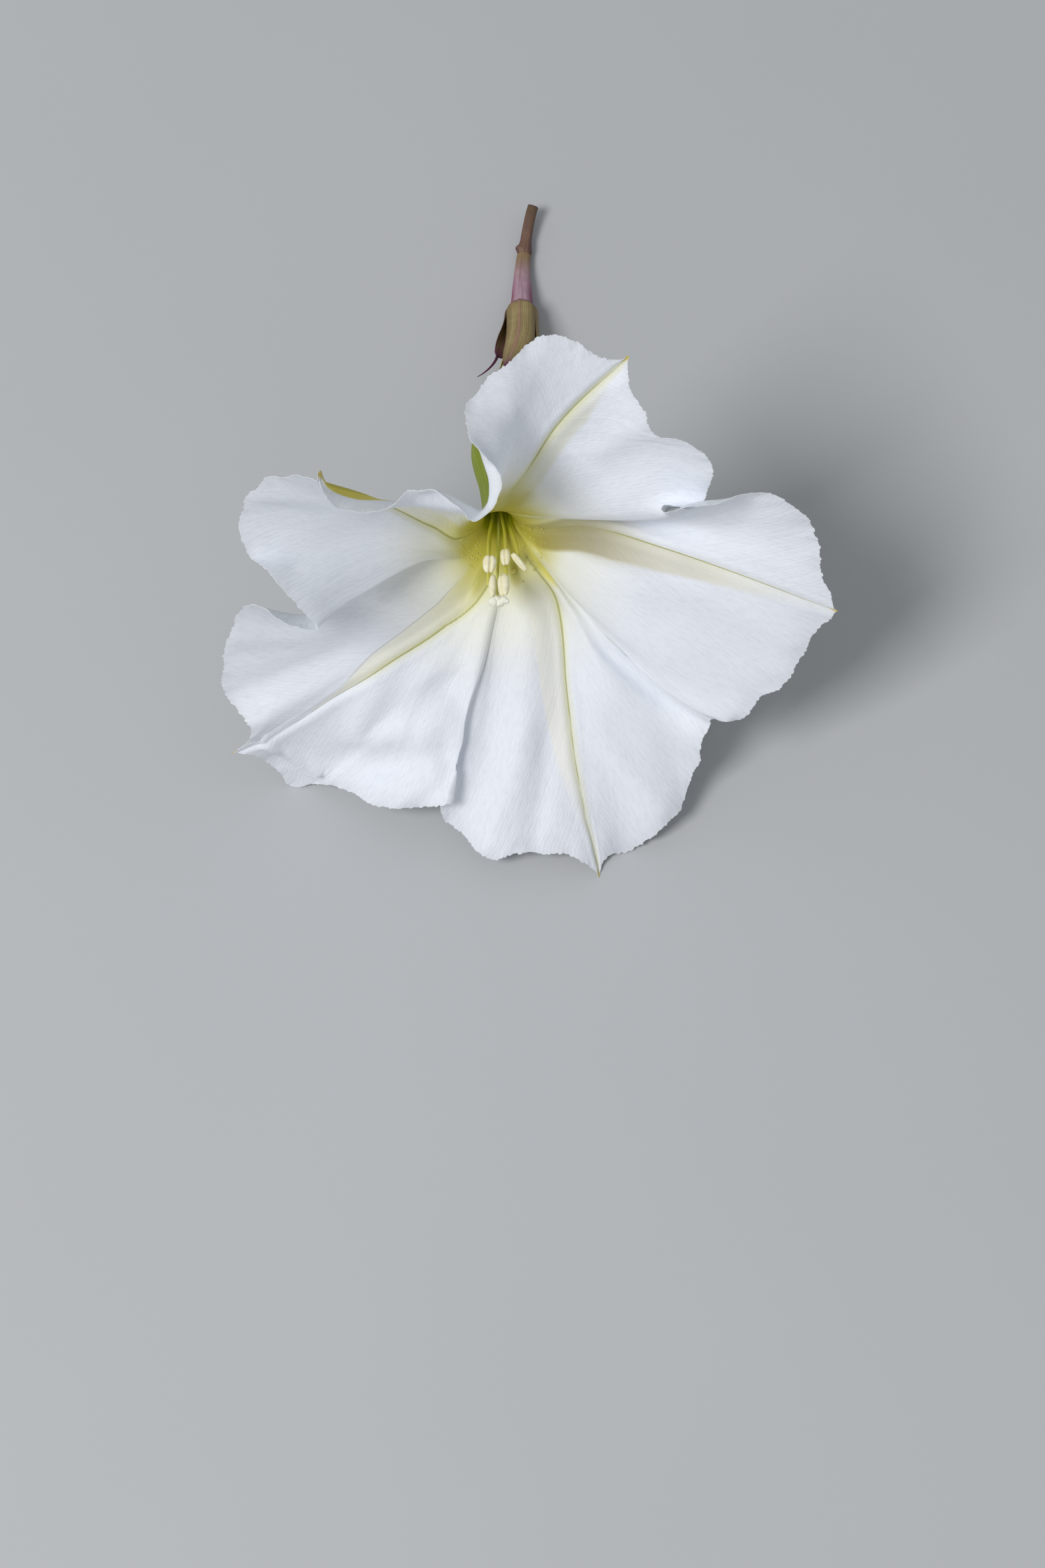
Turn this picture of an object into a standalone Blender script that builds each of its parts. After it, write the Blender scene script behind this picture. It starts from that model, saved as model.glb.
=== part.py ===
"""Moonflower, a picked blossom.

It lies on the rims of its two lowest lobes and on the joint of its stalk.  The flower is drawn
in its own frame first: the origin is the middle of the throat, where the trumpet narrows into the
tube, and +Z runs out of the mouth.  Azimuths are degrees about that axis.  LAY_ROLL and LAY_PITCH
then lay it down, and it is moved so that it rests on Z = 0.
"""
import math

import bpy
import numpy as np

MM = 0.001

# Lying down: the azimuth that turns to face the floor, and how far the mouth tips up.
LAY_ROLL = 268.60
LAY_PITCH = 32.96

# Trumpet and tube, in mm.
LIMB_WALL = 0.55
TUBE_WALL = 0.40
THROAT_RADIUS = 3.0
THROAT_TWIST = 30.0
NECK_RADIUS = 7.5
NECK_HEIGHT = 9.0
NECK_TWIST = 24.0
TUBE_RADII = ((0.0, 3.0), (-11.0, 2.95), (-26.0, 2.9), (-50.0, 2.6), (-66.0, 2.3), (-75.2, 2.3))
TUBE_RINGS = (-75.2, -73, -70, -67, -63, -58, -53, -47, -41, -35, -29, -23, -17, -11.5, -7)
TUBE_STEP = 3
LIMB_RINGS = 13

# The line that the tube and the stalk follow: x, y, z in mm, from the mouth to the cut end.
AXIS = ((0, 0, 12), (0, 0, 0), (-0.8, 0.3, -11), (-2.8, 1.2, -25), (1.0, 4, -45), (4.6, 7, -62),
        (4.7, 9.6, -75), (5.2, 15.5, -88), (7, 23, -95.5), (10.4, 30, -101))
BASE_AT = -75.6
NODE_AT = -91.2
CUT_AT = -102.6

# Edge of the limb, counterclockwise from the tip of the east lobe: azimuth, reach, height.
# A name marks a lobe's tip or the pleat between two lobes, with its place around the limb.
EDGE = (
    ("tip", 0.0, (355.5, 67, 27)),
    (358.6, 65.9, 27), (2, 64.4, 27), (8, 64.2, 27), (13, 63.6, 28), (18.4, 61.9, 30), (21.6, 60, 30.2),
    (25.3, 55.4, 30.5), (28.3, 51, 32.5), (30.5, 47.5, 34.5), (33.6, 44.2, 36), (35.3, 42.3, 37),
    ("pleat", 0.1, (37.5, 40.6, 38)),
    (33, 41.5, 34), (28.5, 43.5, 30), (28.5, 45.3, 29.5), (31, 48, 30.3), (35, 50.5, 32), (40, 51.8, 33),
    (44, 51.3, 33), (48, 50, 33), (50, 48, 32), (56, 50.8, 32), (60.3, 52.5, 31),
    (63.3, 55.3, 30.5),
    ("tip", 0.2, (65, 57.8, 30)),
    (68, 56.7, 30), (72, 57.3, 30), (76, 58.5, 30), (80, 59, 30), (82.5, 57.7, 30), (86, 55, 31),
    (90, 51.5, 32), (94, 48, 33), (96, 46, 36), (97, 42, 40), (94, 39, 41), (91, 37, 42.5),
    (89, 35, 45), (90, 32, 45), (94, 29, 45),
    ("pleat", 0.3, (98, 28, 46)),
    (101, 30, 46), (104, 31, 45), (108, 33, 43.5), (112, 34, 42), (115, 34, 41), (119, 34.5, 40),
    (126.9, 33.7, 40.5), (131.7, 35.5, 42), (135.4, 38, 43), (136.9, 41.6, 44), (135.6, 45.6, 45),
    ("tip", 0.4, (134, 48, 45)),
    (137.5, 51, 42), (141, 51.7, 40), (144, 53.8, 38), (147.5, 54.2, 37), (151, 54.8, 36),
    (155, 54, 36), (158.5, 53, 36), (161.5, 51.5, 37), (163.5, 49.3, 38), (164, 47, 40),
    (166.5, 43.2, 42), (170.5, 39.6, 43), (175, 36.3, 44),
    ("pleat", 0.5, (177, 35, 44)),
    (174, 36.5, 35.5), (179, 37, 34.5), (184, 35.5, 37.5), (182, 38.5, 38), (180, 42, 37.5),
    (178, 46, 35.5), (178, 47.4, 35), (181.5, 50, 32), (187, 53.2, 30), (194, 56.7, 28),
    (199, 58.6, 27), (206, 60.7, 27), (208, 60.2, 27), (213, 60.4, 28), (215.9, 62.2, 26.5),
    ("tip", 0.6, (217, 67.3, 25)),
    (219.7, 65.4, 24), (223.5, 66.5, 21.5), (227.4, 67.6, 19.5), (231.8, 68.7, 18), (233.5, 66.1, 18.5),
    (235.2, 63, 21), (239.5, 60.3, 24), (242.5, 58.3, 27), (248.5, 55.6, 29), (255, 52.1, 30),
    ("pleat", 0.7, (258, 50.2, 31)),
    (256, 51.3, 28.5), (259, 56.4, 29), (262, 57.4, 31), (267, 60.8, 34), (269, 61.4, 34),
    (272.5, 60.3, 34), (276, 59.8, 34), (280, 60.7, 34), (284, 62.6, 34), (287, 66.2, 34),
    ("tip", 0.8, (287.5, 68.6, 33.5)),
    (289, 66.5, 32), (293.5, 68, 29.5), (299.5, 66.8, 28), (306, 65, 26), (309, 63.1, 25),
    (312.5, 60.4, 24.5), (319, 56.1, 25),
    ("pleat", 0.9, (324, 54.5, 25.5)),
    (326, 57, 26), (327.5, 58.7, 26), (333.5, 59.4, 26), (335.5, 61.3, 26), (340, 62.8, 26),
    (345.5, 63, 26), (351.5, 64.8, 26),
)

# Two rings inside the edge: place around the limb, azimuth, reach, height.
OUTER_RING = (
    (0.00, 8, 34, 20), (0.06, 17, 34, 16.5), (0.10, 26.5, 33, 24.5), (0.15, 48, 35, 24),
    (0.20, 71.5, 36, 23), (0.25, 84, 35, 28), (0.30, 96, 22, 33), (0.35, 125, 25, 30),
    (0.40, 138, 29, 27), (0.45, 158, 34, 27), (0.492, 173.1, 27.5, 30.6),
    (0.50, 177, 26.4, 31), (0.511, 176, 28.5, 25.5),
    (0.523, 187, 29, 22.5), (0.55, 203, 34, 22), (0.60, 222.5, 34, 21), (0.65, 242, 34, 22.5),
    (0.70, 260, 33, 23.5), (0.711, 259.3, 33, 21.3), (0.725, 264, 34, 19.8), (0.75, 277, 36, 22.5),
    (0.80, 295, 36, 19), (0.85, 310, 35, 20), (0.895, 323, 35, 18), (0.91, 326, 35, 21),
    (0.95, 345, 35, 22.5),
)
INNER_RING = (
    (0.00, 18, 18, 12.5), (0.06, 26, 17, 11), (0.10, 33, 16.5, 15), (0.15, 52, 16.5, 15.5),
    (0.20, 75, 18, 14), (0.25, 92, 16, 17), (0.30, 108, 12, 19), (0.35, 122, 15, 18),
    (0.40, 150, 14, 14), (0.45, 168, 16, 17), (0.492, 173.9, 15, 17.6),
    (0.50, 177, 14.7, 17.6), (0.511, 174, 15.5, 14.9),
    (0.523, 184, 16, 13.7), (0.55, 212, 17, 15), (0.60, 238, 17, 13), (0.65, 252, 17, 14.5),
    (0.70, 263, 17, 14.8), (0.711, 264.5, 17, 13.8), (0.725, 269, 17, 13.2), (0.75, 288, 17, 15),
    (0.80, 310, 17, 11), (0.85, 318, 18, 12), (0.895, 323, 18, 11.5), (0.91, 328, 18, 14),
    (0.95, 350, 17.5, 16),
)
RING_AT = (-0.085, 0.0, 0.15, 0.33, 0.60, 1.0)

# Rolled margins, fuller just inside the edge: place and half-width around the limb, radial and
# half-width along it, and the push in mm.
ROLLS = (
    (0.084, 0.018, 0.86, 0.14, (0.0, 1.6, -0.9)),
    (0.283, 0.022, 0.86, 0.14, (-2.3, 0.2, 0.0)),
    (0.322, 0.026, 0.86, 0.14, (-0.4, 1.6, -0.8)),
)

# Stamens: where each filament leaves the tube wall (azimuth), where it passes the throat
# (azimuth, reach), then its anther's middle, the way the anther points and its length and width.
STAMENS = (
    (145, (145, 1.5), (-1.7, -0.4, 17.1), (-0.12, -0.80, 0.58), 3.8, 2.7),
    (70, (70, 1.4), (1.45, -0.1, 14.9), (0.02, -0.62, 0.78), 3.7, 2.0),
    (0, (0, 1.7), (4.2, -0.6, 16.0), (0.62, -0.72, 0.30), 4.7, 1.5),
    (215, (210, 1.75), (-1.05, -3.5, 20.7), (-0.05, -0.45, 0.89), 5.5, 2.2),
    (290, (300, 1.6), (1.1, -2.6, 21.6), (0.05, -0.50, 0.86), 5.2, 2.5),
)
FILAMENT_FOOT = -56.0
FILAMENT_REACH = 1.6
FILAMENT_RADIUS = 0.34
STYLE_RADIUS = 0.30
STIGMA_AT = (0.2, -3.6, 26.0)
STIGMA_RADIUS = 1.3
OVARY_RADIUS = 1.15
OVARY_HEIGHT = 4.2
GAP = 0.3

# Sepals: azimuth, half-angle at the widest, inner radius, how far the blade's end stands off, blade
# length, awn length, awn flare.
OUTER_SEPALS = ((98, 58.5, 3.45, 0.5, 24.0, 4.0, 0.10), (215, 53, 3.45, 2.5, 10.8, 6.5, 0.95),
                (335, 58, 3.45, 0.25, 18.0, 4.5, 0.20))
INNER_SEPALS = ((35, 80, 2.8, 0.3, 21.0, 1.2, 0.1), (215, 82, 2.8, 0.3, 21.5, 1.2, 0.1))
SEPAL_WALL = 0.30

PEDICEL_RADII = (2.75, 2.5, 2.35, 2.15, 1.95, 1.72, 1.55)
PEDUNCLE_RADII = (1.5, 1.65, 1.5, 1.25, 1.2, 1.2)


def unit(vector):
    """The vector at length one."""
    vector = np.asarray(vector, float)
    return vector / np.linalg.norm(vector)


def at(azimuth, reach, height):
    """A point in the flower's frame from its azimuth, reach and height."""
    angle = math.radians(azimuth)
    return np.array([reach * math.cos(angle), reach * math.sin(angle), height])


def slopes(places, points):
    """The direction of a smooth curve at each of its inner points."""
    result = np.zeros_like(points)
    for i in range(1, len(places) - 1):
        before = places[i] - places[i - 1]
        after = places[i + 1] - places[i]
        rise_in = (points[i] - points[i - 1]) / before
        rise_out = (points[i + 1] - points[i]) / after
        result[i] = (rise_in * after + rise_out * before) / (before + after)
    return result


def hermite(t, span, start, start_slope, end, end_slope):
    """A cubic from start to end with the given slopes."""
    first = (2 * t**3 - 3 * t**2 + 1) * start + (t**3 - 2 * t**2 + t) * span * start_slope
    return first + (-2 * t**3 + 3 * t**2) * end + (t**3 - t**2) * span * end_slope


def around(places, points, where):
    """A closed smooth curve through the points, read at the places asked for."""
    places = np.concatenate([places[-2:] - 1, places, places[:2] + 1])
    points = np.concatenate([points[-2:], points, points[:2]])
    slope = slopes(places, points)
    where = np.asarray(where, float) % 1.0
    k = np.clip(np.searchsorted(places, where, side="right") - 1, 1, len(places) - 3)
    span = (places[k + 1] - places[k])[:, None]
    t = (where - places[k])[:, None] / span
    return hermite(t, span, points[k], slope[k], points[k + 1], slope[k + 1])


def edge_curve():
    """Places around the limb and points of its edge, spaced by length between named stations."""
    points = []
    named = []
    for station in EDGE:
        if isinstance(station[0], str):
            named.append((len(points), station[1]))
            points.append(at(*station[2]))
        else:
            points.append(at(*station))
    points = np.array(points)
    count = len(points)
    places = np.zeros(count)
    closing = named[1:] + [(count, 1.0)]
    for (first, low), (last, high) in zip(named, closing):
        run = [points[i % count] for i in range(first, last + 1)]
        steps = [np.linalg.norm(b - a) for a, b in zip(run, run[1:])]
        total = sum(steps)
        gone = 0.0
        for i, step in zip(range(first, last), steps):
            places[i] = low + (high - low) * gone / total
            gone += step
    return places, points


def inner_curve(ring):
    """Places and points of one of the rings inside the edge."""
    return np.array([s[0] for s in ring]), np.array([at(*s[1:]) for s in ring])


def axis_frame(s):
    """Centre, side and depth directions of the tube's line, s mm along it from the throat."""
    line = np.array(AXIS, float)
    reach = [0.0]
    for a, b in zip(line, line[1:]):
        reach.append(reach[-1] + np.linalg.norm(b - a))
    places = reach[1] - np.array(reach)
    places = places[::-1]
    line = line[::-1]
    slope = slopes(places, line)
    slope[0] = (line[1] - line[0]) / (places[1] - places[0])
    slope[-1] = (line[-1] - line[-2]) / (places[-1] - places[-2])

    def read(where):
        k = int(np.clip(np.searchsorted(places, where, side="right") - 1, 0, len(places) - 2))
        span = places[k + 1] - places[k]
        return hermite((where - places[k]) / span, span, line[k], slope[k], line[k + 1], slope[k + 1])

    forward = unit(read(s + 0.1) - read(s - 0.1))
    side = unit(np.array([1.0, 0, 0]) - forward[0] * forward)
    return read(s), side, np.cross(forward, side), forward


def tube_radius(s):
    """Radius of the tube s mm along its line."""
    places = [p[0] for p in TUBE_RADII][::-1]
    radii = [p[1] for p in TUBE_RADII][::-1]
    return float(np.interp(s, places, radii))


def circle(around_places, s, radius, twist):
    """A ring about the tube's line."""
    centre, side, depth, forward = axis_frame(s)
    angle = np.radians(360 * np.asarray(around_places) + twist)[:, None]
    return centre + radius * (np.cos(angle) * side + np.sin(angle) * depth)


def limb(places, radial):
    """The trumpet's surface on a grid, from the throat at 0 to the edge at 1."""
    neck_angle = np.radians(360 * np.asarray(places) + NECK_TWIST)
    neck = np.stack([NECK_RADIUS * np.cos(neck_angle), NECK_RADIUS * np.sin(neck_angle),
                     np.full(len(places), NECK_HEIGHT)], 1)
    rings = np.stack([
        circle(places, -6.0, tube_radius(-6.0), THROAT_TWIST),
        circle(places, 0.0, THROAT_RADIUS, THROAT_TWIST),
        neck,
        around(*inner_curve(INNER_RING), places),
        around(*inner_curve(OUTER_RING), places),
        around(*edge_curve(), places),
    ])
    slope = slopes(np.array(RING_AT), rings)
    last = (rings[5] - rings[4]) / (RING_AT[5] - RING_AT[4])
    slope[5] = 1.5 * last - 0.5 * slope[4]
    grid = np.zeros((len(places), len(radial), 3))
    for j, where in enumerate(radial):
        k = int(np.clip(np.searchsorted(RING_AT, where, side="right") - 1, 1, 4))
        span = RING_AT[k + 1] - RING_AT[k]
        grid[:, j] = hermite((where - RING_AT[k]) / span, span, rings[k], slope[k],
                             rings[k + 1], slope[k + 1])
    for place, wide, middle, long, push in ROLLS:
        across = np.clip(1 - ((np.asarray(places) - place) / wide) ** 2, 0, 1) ** 2
        along = np.clip(1 - ((np.asarray(radial) - middle) / long) ** 2, 0, 1) ** 2
        grid += across[:, None, None] * along[None, :, None] * np.array(push)
    return grid


def mesh_object(name, points, faces, colour, roughness, smooth=True):
    """A closed body from points in mm, wound so that its faces look outwards."""
    points = np.asarray(points, float)
    volume = 0.0
    for face in faces:
        for i in range(1, len(face) - 1):
            a, b, c = points[face[0]], points[face[i]], points[face[i + 1]]
            volume += np.dot(a, np.cross(b, c))
    if volume < 0:
        faces = [tuple(reversed(face)) for face in faces]
    mesh = bpy.data.meshes.new(name)
    mesh.from_pydata([tuple(p * MM) for p in points], [], faces)
    mesh.update()
    for polygon in mesh.polygons:
        polygon.use_smooth = smooth
    material = bpy.data.materials.new(name)
    material.use_nodes = True
    shader = material.node_tree.nodes["Principled BSDF"]
    shader.inputs["Base Color"].default_value = (*colour, 1.0)
    shader.inputs["Roughness"].default_value = roughness
    mesh.materials.append(material)
    made = bpy.data.objects.new(name, mesh)
    bpy.context.scene.collection.objects.link(made)
    return made


def loft(name, rings, colour, roughness):
    """A closed body skinned over rings of equal size, with a flat cap at each end."""
    count = len(rings[0])
    points = np.concatenate(rings)
    faces = []
    for j in range(len(rings) - 1):
        for i in range(count):
            k = (i + 1) % count
            faces.append((j * count + i, j * count + k, (j + 1) * count + k, (j + 1) * count + i))
    faces.append(tuple(range(count - 1, -1, -1)))
    last = (len(rings) - 1) * count
    faces.append(tuple(range(last, last + count)))
    return mesh_object(name, points, faces, colour, roughness)


def smooth_path(stations, steps):
    """An open smooth curve through the stations."""
    line = np.array(stations, float)
    places = np.concatenate([[0.0], np.cumsum(np.linalg.norm(np.diff(line, axis=0), axis=1))])
    slope = slopes(places, line)
    slope[0] = (line[1] - line[0]) / (places[1] - places[0])
    slope[-1] = (line[-1] - line[-2]) / (places[-1] - places[-2])
    result = []
    for where in np.linspace(0, places[-1], steps):
        k = int(np.clip(np.searchsorted(places, where, side="right") - 1, 0, len(places) - 2))
        span = places[k + 1] - places[k]
        result.append(hermite((where - places[k]) / span, span, line[k], slope[k],
                              line[k + 1], slope[k + 1]))
    return np.array(result)


def sweep(name, path, radii, sides, colour, roughness):
    """A round body that follows a path."""
    rings = []
    forward = np.gradient(path, axis=0)
    side = unit(np.cross(forward[0], [0.3, 1.0, 0.2]))
    for point, ahead, radius in zip(path, forward, radii):
        ahead = unit(ahead)
        side = unit(side - np.dot(side, ahead) * ahead)
        depth = np.cross(ahead, side)
        angle = np.linspace(0, 2 * math.pi, sides, endpoint=False)[:, None]
        rings.append(point + radius * (np.cos(angle) * side + np.sin(angle) * depth))
    return loft(name, rings, colour, roughness)


def corolla():
    """The trumpet and its tube, one petal sheet with a real thickness."""
    places = edge_curve()[0]
    places = places[:len(places) // TUBE_STEP * TUBE_STEP]
    grid = limb(places, np.concatenate([[-0.04], np.linspace(0.0, 1.0, LIMB_RINGS)]))
    normal = np.cross(np.roll(grid, -1, 0) - np.roll(grid, 1, 0), np.gradient(grid, axis=1))
    normal /= np.linalg.norm(normal, axis=2, keepdims=True)
    rings = grid.shape[1]
    wall = np.interp(np.arange(rings), [0, 3], [TUBE_WALL, LIMB_WALL])[None, :, None]
    few = places[::TUBE_STEP]
    count, fewer = len(places), len(few)
    points = []
    sheets = []
    for turn in (1, -1):
        sheet = {"limb": len(points)}
        points.extend((grid + turn * normal * wall / 2).reshape(-1, 3))
        sheet["tube"] = len(points)
        for s in TUBE_RINGS:
            points.extend(circle(few, s, tube_radius(s) + turn * TUBE_WALL / 2, THROAT_TWIST))
        sheets.append(sheet)
    faces = []
    last = len(TUBE_RINGS) - 1
    for sheet, turn in zip(sheets, (1, -1)):
        made = []
        for i in range(count):
            k = (i + 1) % count
            for j in range(rings - 1):
                a, b = sheet["limb"] + i * rings + j, sheet["limb"] + k * rings + j
                made.append((a, b, b + 1, a + 1))
        for i in range(fewer):
            k = (i + 1) % fewer
            for j in range(last):
                a, b = sheet["tube"] + j * fewer + i, sheet["tube"] + j * fewer + k
                made.append((a, b, b + fewer, a + fewer))
            low = [sheet["tube"] + last * fewer + i, sheet["tube"] + last * fewer + k]
            high = [sheet["limb"] + ((i * TUBE_STEP + m) % count) * rings for m in range(TUBE_STEP + 1)]
            made.append((low[0], high[1], high[0]))
            made.append((low[0], high[2], high[1]))
            made.append((low[0], low[1], high[2]))
            made.append((low[1], high[3], high[2]))
        faces.extend(made if turn > 0 else [tuple(reversed(face)) for face in made])
    front, back = sheets
    for i in range(count):
        k = (i + 1) % count
        a, b = i * rings + rings - 1, k * rings + rings - 1
        faces.append((front["limb"] + a, front["limb"] + b, back["limb"] + b, back["limb"] + a))
    for i in range(fewer):
        k = (i + 1) % fewer
        faces.append((front["tube"] + k, front["tube"] + i, back["tube"] + i, back["tube"] + k))
    return mesh_object("corolla", points, faces, (0.82, 0.84, 0.86), 0.6)


def stamens():
    """Five filaments that rise from the tube wall, each with a two-lobed anther."""
    for number, shape in enumerate(STAMENS, 1):
        foot, (pass_at, pass_reach), middle, pointing, length, width = shape
        middle = np.array(middle, float)
        pointing = unit(pointing)
        back = unit(np.cross(np.cross(pointing, [0, 0.5, -1.0]), pointing))
        tip = middle - 0.1 * length * pointing + back * (0.36 * width + GAP + 0.05)
        stations = []
        for s in np.arange(FILAMENT_FOOT, -4.0, 7.0):
            centre, side, depth, forward = axis_frame(s)
            angle = math.radians(foot)
            reach = 1.7 if s == FILAMENT_FOOT else FILAMENT_REACH
            stations.append(centre + reach * (math.cos(angle) * side + math.sin(angle) * depth))
        throat = at(pass_at, pass_reach, 0.0)
        stations.append(throat)
        stations.append(0.5 * (throat + tip) + 0.4 * unit([tip[0], tip[1], 0.0]))
        stations.append(tip)
        path = smooth_path(stations, 18)
        radii = [FILAMENT_RADIUS * (1.15 - 0.4 * t) for t in np.linspace(0, 1, 18)]
        sweep("filament_%d" % number, path, radii, 6, (0.42, 0.45, 0.10), 0.5)

        across = unit(np.cross(pointing, back))
        rings = []
        for t, girth in ((-0.5, 0.30), (-0.42, 0.72), (-0.22, 1.0), (0.05, 0.98), (0.3, 0.82),
                         (0.44, 0.5), (0.5, 0.2)):
            ring = []
            for i in range(10):
                angle = 2 * math.pi * i / 10
                lobe = 1.0 - 0.24 * abs(math.sin(angle)) ** 4
                ring.append(middle + t * length * pointing
                            + 0.5 * width * girth * lobe * math.cos(angle) * across
                            + 0.36 * width * girth * lobe * math.sin(angle) * back)
            rings.append(np.array(ring))
        loft("anther_%d" % number, rings, (0.86, 0.79, 0.56), 0.7)


def pistil():
    """Ovary, its ring of nectary tissue, the long style and the lumpy two-lobed stigma."""
    centre, side, depth, forward = axis_frame(BASE_AT)

    def turned(name, profile, sides, colour, roughness):
        rings = []
        for rise, radius in profile:
            angle = np.linspace(0, 2 * math.pi, sides, endpoint=False)[:, None]
            rings.append(centre + rise * forward + radius * (np.cos(angle) * side + np.sin(angle) * depth))
        return rings, colour, roughness, name

    height = OVARY_HEIGHT
    profile = ((GAP, 0.85), (0.8, OVARY_RADIUS), (0.4 * height, OVARY_RADIUS), (0.75 * height, 0.8),
               (height, 0.42))
    rings, colour, roughness, name = turned("ovary", profile, 12, (0.45, 0.52, 0.20), 0.5)
    loft(name, rings, colour, roughness)

    inner, outer = OVARY_RADIUS + GAP, 1.82
    section = ((GAP, inner), (GAP, outer), (1.05, outer - 0.05), (1.2, 0.5 * (inner + outer)),
               (1.05, inner))
    count = len(section)
    sides = 16
    points = []
    faces = []
    for i in range(sides):
        angle = 2 * math.pi * i / sides
        for rise, radius in section:
            points.append(centre + rise * forward
                          + radius * (math.cos(angle) * side + math.sin(angle) * depth))
        k = (i + 1) % sides
        for j in range(count):
            m = (j + 1) % count
            faces.append((i * count + j, k * count + j, k * count + m, i * count + m))
    mesh_object("nectary_disc", points, faces, (0.62, 0.58, 0.22), 0.4)

    stations = [centre + (height + GAP) * forward]
    stations.extend([axis_frame(s)[0] for s in np.arange(-66.0, -3.0, 8.0)])
    end = np.array(STIGMA_AT) + unit([-0.1, -0.4, -1.0]) * (STIGMA_RADIUS + GAP)
    stations.extend([(0.0, -0.3, 0.0), (0.0, -1.9, 8.0), (-0.1, -4.0, 15.0), (-0.1, -5.2, 20.5), end])
    sweep("style", smooth_path(stations, 24), [STYLE_RADIUS] * 24, 6, (0.62, 0.64, 0.36), 0.5)

    rings = []
    for t in np.linspace(0.06, 0.94, 8):
        polar = math.pi * t
        ring = []
        for i in range(12):
            angle = 2 * math.pi * i / 12
            lumps = (1 + 0.30 * math.cos(angle) ** 2 * math.sin(polar)
                     + 0.05 * math.cos(3 * angle + 4 * polar))
            radius = STIGMA_RADIUS * math.sin(polar) * lumps
            ring.append(np.array(STIGMA_AT) + np.array([
                radius * math.cos(angle), 0.8 * radius * math.sin(angle),
                -STIGMA_RADIUS * 0.85 * math.cos(polar)]))
        rings.append(np.array(ring))
    loft("stigma", rings, (0.85, 0.85, 0.78), 0.8)


def sepal(name, azimuth, half_angle, inner, stand, blade, awn, flare, colour):
    """A leathery sepal that wraps the tube's foot, drawn out into a soft awn."""
    steps = ((0.0, 0.97), (0.08, 1.0), (0.25, 1.0), (0.5, 0.95), (0.72, 0.72), (0.88, 0.42),
             (1.0, 0.16))
    rings = []
    across = 9
    for t, share in steps:
        s = BASE_AT + GAP + 0.35 + t * blade
        centre, side, depth, forward = axis_frame(s)
        lift = stand * t * t + 0.35 * max(0.0, t - 0.7) / 0.3 * flare
        spread = np.radians(azimuth + half_angle * share * np.linspace(-1, 1, across))[:, None]
        direction = np.cos(spread) * side + np.sin(spread) * depth
        edge = 1.0 - 0.45 * np.abs(np.linspace(-1, 1, across))[:, None] ** 3
        low = inner + lift
        outer_line = centre + (low + SEPAL_WALL * edge) * direction
        inner_line = centre + low * direction
        rings.append(np.concatenate([outer_line, inner_line[::-1]]))
    centre, side, depth, forward = axis_frame(BASE_AT + GAP + 0.35 + blade)
    middle = math.radians(azimuth)
    outward = math.cos(middle) * side + math.sin(middle) * depth
    sideways = -math.sin(middle) * side + math.cos(middle) * depth
    start = rings[-1].mean(0)
    for t in (0.25, 0.6, 1.0):
        bend = flare * t * 0.9
        point = start + awn * t * (math.cos(bend) * forward + math.sin(bend) * outward)
        width, depth_of = 0.36 * (1 - 0.6 * t), 0.17 * (1 - 0.45 * t)
        spread = np.linspace(-1, 1, across)[:, None]
        bow = np.sqrt(np.maximum(0.0, 1 - spread**2 * 0.9))
        line = point + width * spread * sideways
        rings.append(np.concatenate([line + depth_of * bow * outward,
                                     (line - depth_of * bow * outward)[::-1]]))
    return loft(name, rings, colour, 0.55)


def calyx():
    """Three awned outer sepals over two blunter inner ones."""
    for number, shape in enumerate(OUTER_SEPALS, 1):
        sepal("outer_sepal_%d" % number, *shape, (0.30, 0.22, 0.13))
    for number, shape in enumerate(INNER_SEPALS, 1):
        sepal("inner_sepal_%d" % number, *shape, (0.36, 0.33, 0.15))


def stalk():
    """The pedicel under the calyx and the cut length of peduncle below its joint."""
    places = np.concatenate([[BASE_AT, BASE_AT - 0.9], np.linspace(BASE_AT - 3.0, NODE_AT + 0.6, 5)])
    path = np.array([axis_frame(s)[0] for s in places])
    sweep("pedicel", path, PEDICEL_RADII, 16, (0.42, 0.24, 0.32), 0.5)
    places = np.concatenate([[NODE_AT, NODE_AT - 0.8, NODE_AT - 1.8],
                             np.linspace(NODE_AT - 3.2, CUT_AT, 3)])
    path = np.array([axis_frame(s)[0] for s in places])
    sweep("peduncle", path, PEDUNCLE_RADII, 16, (0.24, 0.15, 0.10), 0.6)


def lay_down():
    """Tip the flower on to its lowest lobes and its stalk, then centre it over the origin."""
    roll = math.radians(-90.0 - LAY_ROLL)
    pitch = math.radians(90.0 - LAY_PITCH)
    about_z = np.array([[math.cos(roll), -math.sin(roll), 0], [math.sin(roll), math.cos(roll), 0],
                        [0, 0, 1]])
    about_x = np.array([[1, 0, 0], [0, math.cos(pitch), -math.sin(pitch)],
                        [0, math.sin(pitch), math.cos(pitch)]])
    turn = about_x @ about_z
    everything = []
    for item in bpy.data.objects:
        points = np.zeros(len(item.data.vertices) * 3)
        item.data.vertices.foreach_get("co", points)
        points = points.reshape(-1, 3) @ turn.T
        item.data.vertices.foreach_set("co", points.ravel())
        everything.append(points)
    low = np.min([p.min(0) for p in everything], 0)
    high = np.max([p.max(0) for p in everything], 0)
    shift = np.array([(low[0] + high[0]) / 2, (low[1] + high[1]) / 2, low[2]])
    for item in bpy.data.objects:
        points = np.zeros(len(item.data.vertices) * 3)
        item.data.vertices.foreach_get("co", points)
        item.data.vertices.foreach_set("co", (points.reshape(-1, 3) - shift).ravel())
        item.data.update()


for leftover in list(bpy.data.objects):
    bpy.data.objects.remove(leftover, do_unlink=True)
corolla()
stamens()
pistil()
calyx()
stalk()
lay_down()
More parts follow.
